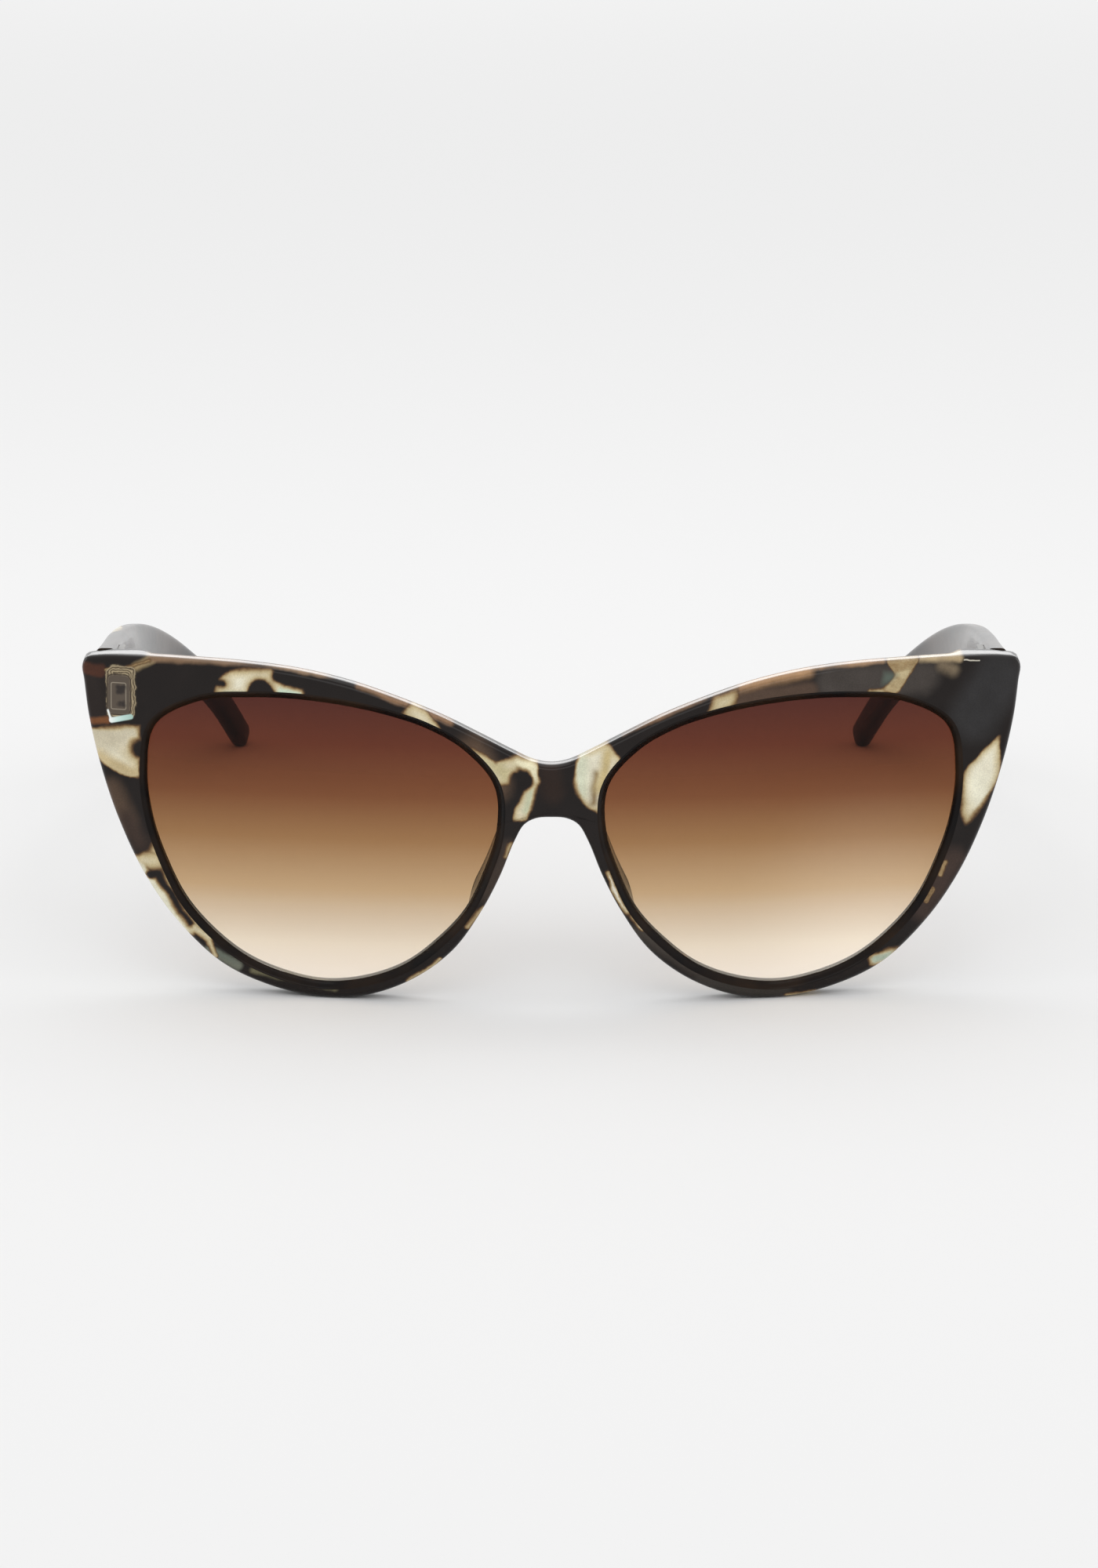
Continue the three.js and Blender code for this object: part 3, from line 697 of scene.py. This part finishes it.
# Cooler, grey-green patches over the rest.
TEAL_PATCHES = [
    area("light", (51.4, 25.5), (55.1, 24.4), (51.8, 22.4), (50.8, 22.4)),
    area("light", (-52.7, -18.9), (-49.1, -21.0), (-48.4, -22.4), (-53.0, -20.6)),
]
TEAL_COLOUR = linear(92, 104, 94)
TEAL_FADE = 0.83       # depth at which a teal patch is at its strongest
TEAL_MOST = 0.75

# Soft lighter clouds in the dark acetate, and pale strips along the top edge that are painted
# highlight: ends, radius, reach of the soft edge, and colour.
DARK_BASE = linear(26, 20, 18)
DARK_CLOUDS_AND_PAINTED_HIGHLIGHTS = [
    ((-68.8, 5.5), (-66.6, 0.5), 0.9, 2.2, linear(82, 65, 52)),
    ((-66.5, 1.0), (-64.5, -2.5), 0.6, 2.2, linear(58, 44, 37)),
    ((-72.0, 22.5), (-71.0, 17.0), 0.8, 2.0, linear(38, 30, 27)),
    ((-12.5, 13.5), (-9.0, 8.5), 1.6, 2.5, linear(90, 71, 56)),
    ((-0.3, 10.5), (0.2, 7.5), 1.0, 1.8, linear(42, 29, 23)),
    ((-6.6, -1.5), (-10.0, -9.0), 0.6, 1.8, linear(60, 49, 42)),
    ((14.0, -14.8), (25.0, -23.0), 0.5, 1.8, linear(66, 60, 54)),
    ((43.5, 23.6), (58.0, 23.8), 1.6, 2.0, linear(68, 62, 58)),
    ((66.0, 17.5), (70.0, 23.0), 2.6, 3.0, linear(46, 45, 46)),
    ((62.8, -5.0), (58.5, -13.0), 1.0, 2.2, linear(62, 48, 42)),
    ((36.0, -25.6), (24.0, -23.6), 0.6, 2.0, linear(54, 50, 46)),
    ((-73.5, 24.4), (-70.4, 24.2), 0.7, 0.6, linear(74, 42, 29)),
    ((-73.5, 16.2), (-69.4, 16.6), 0.3, 0.5, linear(118, 74, 42)),
    ((-64.8, 25.0), (-62.5, 26.2), 0.3, 0.8, linear(170, 150, 112)),
    # Painted highlight: pale strips along the top edge, on the wearer's right half.
    ((-62.5, 26.4), (-45.5, 26.6), 0.25, 0.7, linear(132, 106, 82)),
    ((-45.5, 26.6), (-30.0, 24.4), 0.2, 0.6, linear(158, 128, 98)),
    ((-30.0, 23.6), (-15.5, 18.2), 0.2, 0.7, linear(138, 106, 78)),
    # Painted highlight: a pale strip along the top edge beside the bridge.
    ((11.0, 16.7), (27.0, 23.4), 0.25, 0.7, linear(146, 110, 78)),
    # Clouds in the acetate.
    ((-46.8, -22.6), (-34.0, -25.0), 0.2, 0.7, linear(108, 104, 80)),
    ((-53.6, -19.6), (-49.4, -21.9), 0.5, 0.8, linear(112, 116, 104)),
    ((28.8, 21.2), (39.8, 22.4), 1.0, 1.2, linear(84, 66, 54)),
    # Painted highlight: pale strips along the top edge, on the wearer's left half.
    ((28.8, 23.6), (39.8, 25.7), 0.3, 1.5, linear(176, 138, 100)),
    ((39.8, 26.3), (51.5, 26.8), 0.3, 0.7, linear(178, 140, 102)),
    ((57.5, 26.7), (63.5, 26.4), 0.3, 0.7, linear(178, 158, 124)),
    # A cloud in the acetate.
    ((61.0, 25.4), (62.6, 24.6), 0.3, 1.4, linear(118, 104, 84)),
    # Painted highlight: a thin near-white line on the rounded top edge.
    ((64.3, 26.1), (66.8, 25.8), 0.04, 0.1, linear(208, 204, 190)),
]

# Changes of colour inside the light patches, with the white of the painted highlight lines beside
# the nose, in the same form.
LIGHT_TINTS_AND_PAINTED_HIGHLIGHT = [
    ((-65.0, -8.0), (-59.5, -15.8), 1.0, 1.6, linear(232, 232, 212)),
    ((-73.0, 13.8), (-65.5, 14.0), 1.2, 3.0, linear(206, 198, 174)),
    ((-70.5, 10.5), (-65.0, 8.5), 0.4, 1.6, linear(204, 186, 144)),
    ((-50.5, 21.3), (-44.0, 21.1), 0.3, 0.9, linear(196, 214, 190)),
    ((-41.8, 22.0), (-38.6, 21.7), 0.4, 0.8, linear(204, 228, 208)),
    ((-9.5, 12.6), (-6.5, 9.5), 0.5, 1.6, linear(202, 192, 150)),
    ((-4.8, 11.8), (-2.6, 10.6), 0.5, 1.2, linear(240, 234, 200)),
    ((-2.9, 7.4), (-3.9, 4.6), 0.3, 1.0, linear(198, 202, 172)),
    ((4.5, 12.0), (4.6, 7.8), 0.6, 1.5, linear(214, 218, 194)),
    ((6.9, 10.6), (6.5, 5.8), 0.1, 1.1, linear(140, 118, 80)),
    ((8.8, 13.4), (7.6, 8.0), 0.4, 1.3, linear(200, 182, 134)),
    ((66.8, 6.5), (67.6, 2.5), 0.8, 2.4, linear(242, 240, 218)),
    ((-65.0, -7.6), (-58.6, -17.0), 1.4, 0.8, linear(236, 234, 212)),
    ((-49.5, -21.6), (-46.0, -22.9), 0.3, 1.2, linear(150, 168, 148)),
    ((50.3, -21.0), (53.8, -20.2), 0.4, 1.0, linear(180, 194, 176)),
    # Painted highlight: whitens the thin lines along the bevel edge beside the nose.
    ((9.4, -6.4), (14.2, -14.6), 0.5, 0.5, linear(238, 234, 220)),
]


def area_field(nodes, spot, corners):
    """Depth inside a convex area. The spot's third coordinate is 1, for the edges' offsets."""
    middle = Vector([sum(axis) / len(corners) for axis in zip(*corners)])
    field = None
    for start, end in zip(corners, corners[1:] + corners[:1]):
        start, end = Vector(start), Vector(end)
        inward = Vector((start.y - end.y, end.x - start.x)).normalized()
        if inward.dot(middle - start) < 0:
            inward.negate()
        edge = nodes.vector("DOT_PRODUCT", spot, (inward.x, inward.y, -inward.dot(start)))
        field = edge if field is None else nodes.math("SMOOTH_MIN", field, edge, 1.0)
    return field


def stroke_field(nodes, spot, ends, radius, half_width=0.0):
    """Depth inside a stroke with round ends, or a rectangle with round corners."""
    start, end = (Vector(point) for point in ends)
    middle = (start + end) / 2
    along = (end - start).normalized()
    local = [nodes.vector("DOT_PRODUCT", spot, (axis.x, axis.y, -axis.dot(middle)))
             for axis in (along, along.orthogonal())]
    local = nodes.add("ShaderNodeCombineXYZ", local).outputs[0]
    half = ((end - start).length / 2, half_width, 0)
    past = nodes.vector("SUBTRACT", nodes.vector("ABSOLUTE", local), half)
    distance = nodes.vector("LENGTH", nodes.vector("MAXIMUM", past, (0, 0, 0)))
    return nodes.math("SUBTRACT", radius, distance)


def painted_field(nodes, spot, patches):
    """How deep in a light patch the spot is, in mm, and negative in the dark between them."""
    field = None
    for patch in patches:
        if "corners" in patch:
            layer = area_field(nodes, spot, patch["corners"])
        else:
            layer = stroke_field(nodes, spot, patch["ends"], patch["radius"])
        if patch["most"] is not None:
            layer = nodes.math("MINIMUM", layer, patch["most"])
        if field is None:
            field = layer
        elif patch["kind"] == "light":
            field = nodes.math("SMOOTH_MAX", field, layer, patch["soft"])
        else:
            field = nodes.math("SMOOTH_MIN", field, nodes.math("MULTIPLY", layer, -1), patch["soft"])
    return field


LIGHT_COLOURS = [
    (-0.4, linear(66, 46, 32)),
    (-0.1, linear(102, 76, 48)),
    (0.1, linear(154, 130, 92)),
    (0.4, linear(196, 180, 140)),
    (0.9, linear(216, 205, 172)),
    (2.0, linear(238, 234, 212)),
]
FADE = (-0.45, 0.0)        # depths between which the dark gives way to the light colours
TINT_FADE = (0.1, 0.7)     # and the light colours to their tints
GRAIN_DEPTH = 0.25         # how far the grain moves the edges of the patches
# Cloudiness and speckle: noise scale, detail, and what the colour is multiplied by.
MOTTLING = [
    (0.28, 3.0, [(0.3, (0.84, 0.82, 0.8, 1)), (0.7, (1.06, 1.05, 1.04, 1))]),
    (5.0, 1.0, [(0.3, (0.9, 0.9, 0.9, 1)), (0.7, (1.08, 1.08, 1.08, 1))]),
]


def clouded(nodes, colour, spot, clouds, most=1.0):
    """A colour with soft clouds of other colours over it."""
    for start, end, radius, reach, tone in clouds:
        depth = stroke_field(nodes, spot, (start, end), radius)
        colour = nodes.mix(nodes.ease(depth, -reach, reach / 4, most), colour, tone)
    return colour


def tortoise_colour(nodes, dark, field, spot, flat=None, tints=()):
    """The colours of the acetate by depth in a light patch, mottled a little."""
    sharpness = nodes.span(nodes.noise(spot, 0.14, detail=1.0), 0.35, 0.65, 1.8, 0.7)
    grain = nodes.math("SUBTRACT", nodes.noise(spot, 1.6, detail=4.0, roughness=0.6), 0.5)
    field = nodes.math("MULTIPLY", nodes.math("MULTIPLY_ADD", grain, GRAIN_DEPTH, field), sharpness)
    light = nodes.ramp(field, LIGHT_COLOURS)
    light = clouded(nodes, light, flat, tints, nodes.ease(field, *TINT_FADE))
    colour = nodes.mix(nodes.ease(field, *FADE), dark, light)
    for scale, detail, stops in MOTTLING:
        shade = nodes.ramp(nodes.noise(spot, scale, detail), stops)
        colour = nodes.mix(1.0, colour, shade, "MULTIPLY")
    return colour


def glossy(nodes, colour, spot, specular=0.16, coat=0.12, roughness=(0.07, 0.17)):
    """Polished acetate with faint waviness from tumbling."""
    waves = nodes.noise(spot, 0.5, detail=1.0)
    bump = nodes.add("ShaderNodeBump", {"Height": waves, "Strength": 0.06, "Distance": 0.0002})
    smears = nodes.noise(spot, 0.9, detail=3.0)
    return nodes.shaded(nodes.add("ShaderNodeBsdfPrincipled", {
        "Base Color": colour, "Normal": bump.outputs[0],
        "Roughness": nodes.span(smears, 0.0, 1.0, *roughness),
        "Specular IOR Level": specular, "Coat Weight": coat, "Coat Roughness": 0.03,
    }))


def warped_spot(nodes, flat):
    """The spot shifted a little, so that the patches' edges wander."""
    wander = nodes.vector("SUBTRACT", nodes.noise(flat, 0.35, output="Color"), (0.5, 0.5, 0.5))
    return nodes.vector("ADD", flat, nodes.vector("MULTIPLY", wander, (WANDER, WANDER, 0)))


def front_acetate():
    nodes = Nodes("front_acetate")
    spot = nodes.flat(FRONT_TO_WORLD)
    across, _, up = nodes.add("ShaderNodeSeparateXYZ", [spot]).outputs
    flat = nodes.add("ShaderNodeCombineXYZ", [across, up, 1.0]).outputs[0]
    warped = warped_spot(nodes, flat)
    dark = clouded(nodes, DARK_BASE, warped, DARK_CLOUDS_AND_PAINTED_HIGHLIGHTS)
    field = painted_field(nodes, warped, FRONT_PATCHES_AND_PAINTED_HIGHLIGHTS)
    colour = tortoise_colour(nodes, dark, field, spot, warped, LIGHT_TINTS_AND_PAINTED_HIGHLIGHT)
    teal = painted_field(nodes, warped, TEAL_PATCHES)
    colour = nodes.mix(nodes.span(teal, 0.0, TEAL_FADE, end=TEAL_MOST), colour, TEAL_COLOUR)
    return glossy(nodes, hinge_window(nodes, colour, flat, across), spot)


# The hinge foot seen through the paler acetate of the right endpiece. Each outline is a
# rectangle with round corners: middle (u, w), half width, half height and corner, in mm.
WINDOW_POCKET = ((-67.2, 21.0), 2.35, 4.15, 1.3)
WINDOW_WELL = ((-67.55, 20.6), 1.85, 3.1, 0.9)
WINDOW_FOOT = ((-67.6, 20.4), 1.17, 2.04, 0.25)
WINDOW_NOTCHES = [((-67.3, 21.5), 0.75, 0.65, 0.3), ((-67.1, 19.2), 0.6, 0.5, 0.3)]
WINDOW_WOBBLE = 0.9
CONTOUR_PITCH = 0.42
CONTOUR_COLOURS = [(-1.0, linear(78, 66, 50)), (1.0, linear(168, 152, 122))]
GLOW_COLOURS = [(-69.0, linear(244, 248, 246)), (-67.8, linear(206, 232, 226)),
                (-65.5, linear(168, 200, 190))]


def rounded(nodes, spot, middle, half_width, half_height, corner):
    """Depth inside a rectangle with round corners."""
    middle = Vector(middle)
    reach = Vector((half_width - corner, 0))
    ends = (middle - reach, middle + reach)
    return stroke_field(nodes, spot, ends, corner, half_height - corner)


def inside(nodes, field, edge):
    """1 inside a field and 0 outside, with a soft edge."""
    return nodes.ease(field, -edge, edge)


def rim_line(nodes, field, width):
    """1 along the edge of a field, 0 off it."""
    off = nodes.math("ABSOLUTE", field)
    return inside(nodes, nodes.math("SUBTRACT", width / 2, off), 0.06)


def hinge_window(nodes, colour, spot, across):
    """Nested outlines of the pocket and the foot behind the endpiece."""
    wobble = nodes.math("SUBTRACT", nodes.noise(spot, 0.9, detail=3.0), 0.5)
    wobble = nodes.math("MULTIPLY", wobble, WINDOW_WOBBLE)
    pocket = nodes.math("ADD", rounded(nodes, spot, *WINDOW_POCKET), wobble)
    ripple = nodes.math("SINE", nodes.math("MULTIPLY", pocket, 2 * math.pi / CONTOUR_PITCH))
    colour = nodes.mix(inside(nodes, pocket, 0.25), colour, nodes.ramp(ripple, CONTOUR_COLOURS))
    well = rounded(nodes, spot, *WINDOW_WELL)
    colour = nodes.mix(inside(nodes, well, 0.3), colour, linear(88, 78, 68))
    colour = nodes.mix(rim_line(nodes, well, 0.14), colour, linear(60, 50, 42))
    foot = rounded(nodes, spot, *WINDOW_FOOT)
    colour = nodes.mix(rim_line(nodes, foot, 0.12), colour, linear(150, 140, 124))
    for outline in WINDOW_NOTCHES:
        notch = nodes.math("ADD", rounded(nodes, spot, *outline), wobble)
        colour = nodes.mix(inside(nodes, notch, 0.3), colour, linear(50, 44, 41))
    glow = nodes.math("SMOOTH_MAX",
                      stroke_field(nodes, spot, ((-69.3, 18.1), (-68.8, 16.6)), 0.14),
                      stroke_field(nodes, spot, ((-68.7, 16.6), (-65.7, 17.3)), 0.4), 0.4)
    return nodes.mix(inside(nodes, glow, 0.12), colour, nodes.ramp(across, GLOW_COLOURS))


BEVEL_COLOURS = [(0.35, linear(13, 10, 10)), (0.75, linear(42, 29, 18))]


def bevel_acetate():
    nodes = Nodes("bevel_acetate")
    spot = nodes.flat(FRONT_TO_WORLD)
    colour = nodes.ramp(nodes.noise(spot, 0.12), BEVEL_COLOURS)
    return glossy(nodes, colour, spot, specular=0.12, coat=0.0)


TEMPLE_STRETCH = (0.12, 0.055, 0.1)    # the temple's patches are longest along it
TEMPLE_BEND = 0.6                      # how much they are bent out of line
TEMPLE_BARE = 0.62                     # noise level above which a patch is light
TEMPLE_PATCH_DEPTH = 16.0
OUTER_FACE_U = (69.5, 71.5)            # the light patches fade in towards the outer face
TEMPLE_COLOURS = [(0.35, linear(24, 19, 17)), (0.6, linear(66, 55, 48))]


def temple_acetate():
    nodes = Nodes("temple_acetate")
    spot = nodes.flat(TEMPLE_TO_WORLD)
    bend = nodes.noise(nodes.vector("MULTIPLY", spot, (0.1, 0.1, 0.1)), 1.0, output="Color")
    bend = nodes.vector("MULTIPLY", bend, (TEMPLE_BEND,) * 3)
    shifted = nodes.vector("ADD", nodes.vector("MULTIPLY", spot, TEMPLE_STRETCH), bend)
    blobs = nodes.noise(shifted, 1.9, detail=0.5)
    field = nodes.math("SUBTRACT", blobs, TEMPLE_BARE)
    field = nodes.math("MULTIPLY", field, TEMPLE_PATCH_DEPTH)
    aside = nodes.math("ABSOLUTE", nodes.add("ShaderNodeSeparateXYZ", [spot]).outputs["X"])
    field = nodes.math("ADD", field, nodes.span(aside, *OUTER_FACE_U, -3.0, 0.0))
    colour = tortoise_colour(nodes, nodes.ramp(blobs, TEMPLE_COLOURS), field, spot)
    return glossy(nodes, colour, spot, roughness=(0.1, 0.2))


# What the gradient shows over a plain background, by height: w in mm and a display colour.
# The colours follow ones read off a photograph at even steps by another script.
LENS_COLOURS = [
    (-23.0, (234, 224, 212)), (-18.0, (230, 216, 195)), (-9.0, (197, 166, 128)),
    (-1.0, (158, 120, 84)), (6.0, (126, 83, 59)), (14.0, (103, 61, 49)), (21.0, (86, 53, 48)),
]
CLEAR_VIEW = 242       # display level of the plain background behind the lenses
LENS_SHEEN = 0.012     # light that the lens faces mirror towards the camera
# Painted reflection, given off by the lenses as a glow: pale light low on each lens, by height,
# and a brighter spot on the wearer's left lens.
PAINTED_REFLECTION_TINT = (1.0, 0.95, 0.85)
PAINTED_REFLECTION = [(-23.0, 0.115), (-19.0, 0.085), (-16.0, 0.052), (-13.0, 0.028), (-10.0, 0.008), (-6.0, 0)]
PAINTED_REFLECTION_SPOT = (50.0, 0.0, -14.0)
PAINTED_REFLECTION_SPOT_REACH = 24.0
PAINTED_REFLECTION_SPOT_LEVEL = 0.05


def passed_light(shown):
    """The share of the background's light that the lens lets through to show a colour."""
    clear = linear(CLEAR_VIEW, CLEAR_VIEW, CLEAR_VIEW)
    shares = [max(s - LENS_SHEEN, 0.001) / c for s, c in zip(linear(*shown), clear)]
    return (*shares[:3], 1)


def painted_lens_reflection(nodes, spot, height):
    # Painted reflection: a pale glow low on the lens and a brighter spot, given as emission.
    levels = [(place, (*(level * share for share in PAINTED_REFLECTION_TINT), 1)) for place, level in PAINTED_REFLECTION]
    on_face = nodes.vector("MULTIPLY", spot, (1, 0, 1))
    off = nodes.vector("LENGTH", nodes.vector("SUBTRACT", on_face, PAINTED_REFLECTION_SPOT))
    painted_spot = nodes.ease(off, PAINTED_REFLECTION_SPOT_REACH, 0.0, PAINTED_REFLECTION_SPOT_LEVEL)
    return nodes.mix(1.0, nodes.ramp(height, levels), painted_spot, "ADD")


def lens_tint():
    """Brown gradient glass."""
    nodes = Nodes("lens_tint")
    spot = nodes.flat(FRONT_TO_WORLD)
    height = nodes.add("ShaderNodeSeparateXYZ", [spot]).outputs["Z"]
    stops = [(place, passed_light(shown)) for place, shown in LENS_COLOURS]
    return nodes.shaded(nodes.add("ShaderNodeBsdfPrincipled", {
        "Base Color": nodes.ramp(height, stops), "Roughness": 0.0, "IOR": 1.2,
        # The emission is a painted reflection, a pale glow low on the lenses.
        "Transmission Weight": 1.0, "Emission Color": painted_lens_reflection(nodes, spot, height),
        "Emission Strength": 1.0,
    }))


METAL_COLOURS = [(0.3, linear(84, 83, 81)), (0.7, linear(128, 126, 122))]


def hinge_metal():
    """Steel, faintly brushed along the screw."""
    nodes = Nodes("hinge_metal")
    spot = nodes.flat(FRONT_TO_WORLD)
    brushed = nodes.noise(nodes.vector("MULTIPLY", spot, (6, 6, 0.6)), 2.0, detail=4.0)
    bump = nodes.add("ShaderNodeBump", {"Height": brushed, "Strength": 0.12, "Distance": 0.00005})
    return nodes.shaded(nodes.add("ShaderNodeBsdfPrincipled", {
        "Base Color": nodes.ramp(brushed, METAL_COLOURS), "Metallic": 1.0,
        "Roughness": nodes.span(brushed, 0.0, 1.0, 0.22, 0.42), "Normal": bump.outputs[0],
    }))


def hinges(metal):
    """The hinge leaves and screws keep their CAD meshes."""
    for kind in ("hinge_front_leaf", "hinge_temple_leaf", "hinge_screw"):
        for side in ("left", "right"):
            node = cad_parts[f"{kind}_{side}"]
            node.data.materials.clear()
            node.data.materials.append(metal)


# ---- studio ---------------------------------------------------------------------------------
FLOOR_REACH = 12.0
FLOOR_COLOUR = (0.86, 0.86, 0.86, 1)
WORLD_LIGHT = 0.855
AIM = (0, 0, 0.02)
# Lamps: name, width and height, place in metres, and power in watts.
LAMPS = [
    ("key", (0.9, 0.5), (0, -0.9, 0.9), 1.6),
    ("overhead", (0.3, 0.3), (0, 0.03, 0.45), 0.26),
    ("rear", (1.4, 0.16), (0, 1.3, 0.24), 1.3),
    ("side_right", (0.25, 0.5), (-0.8, 0.35, 0.35), 0.6),
    ("side_left", (0.25, 0.5), (0.8, 0.35, 0.35), 0.6),
]


def floor():
    nodes = Nodes("floor")
    matt = nodes.shaded(nodes.add("ShaderNodeBsdfPrincipled", {
        "Base Color": FLOOR_COLOUR, "Roughness": 0.9, "Specular IOR Level": 0.0,
    }))
    corners = FLOOR_REACH * np.array([(-1, -1, 0), (1, -1, 0), (1, 1, 0), (-1, 1, 0)])
    new_object("floor", corners, [(0, 1, 2, 3)], (matt,))


def soft_light(name, size, place, power):
    light = bpy.data.lights.new(name, "AREA")
    light.shape = "RECTANGLE"
    light.size, light.size_y = size
    light.energy = power
    lamp = bpy.data.objects.new(name, light)
    lamp.location = place
    lamp.rotation_euler = (Vector(AIM) - Vector(place)).to_track_quat("-Z", "Y").to_euler()
    lamp.visible_camera = False
    bpy.context.scene.collection.objects.link(lamp)


def studio():
    floor()
    world = bpy.data.worlds.new("studio")
    world.use_nodes = True
    background = world.node_tree.nodes["Background"]
    background.inputs["Color"].default_value = (1, 1, 1, 1)
    background.inputs["Strength"].default_value = WORLD_LIGHT
    bpy.context.scene.world = world
    for lamp in LAMPS:
        soft_light(*lamp)
    bpy.context.scene.view_settings.view_transform = "Standard"


CAMERA_TILT = math.radians(16.3)
CAMERA_DISTANCE = 1.0
CAMERA_RISE = 0.008637     # the view's middle lies this far above the bridge
CAMERA_ASIDE = -0.000365
FOCAL_LENGTH = 147.96
SENSOR_WIDTH = 36


def camera():
    data = bpy.data.cameras.new("camera")
    data.lens = FOCAL_LENGTH
    data.sensor_width = SENSOR_WIDTH
    eye = bpy.data.objects.new("camera", data)
    forward = Vector((0, math.cos(CAMERA_TILT), -math.sin(CAMERA_TILT)))
    up = Vector((0, math.sin(CAMERA_TILT), math.cos(CAMERA_TILT)))
    bridge = FRONT_TO_WORLD @ Vector((0, 0, 0))
    eye.location = bridge - forward * CAMERA_DISTANCE + up * CAMERA_RISE
    eye.location.x = CAMERA_ASIDE
    eye.rotation_euler = Euler((math.pi / 2 - CAMERA_TILT, 0, 0))
    bpy.context.scene.collection.objects.link(eye)
    bpy.context.scene.camera = eye


# ---- assembly -------------------------------------------------------------------------------
camera()
studio()
front_frame(front_acetate(), bevel_acetate())
tint = lens_tint()
acetate = temple_acetate()
for side in (-1, 1):
    lens(side, tint)
    temple(side, acetate)
hinges(hinge_metal())
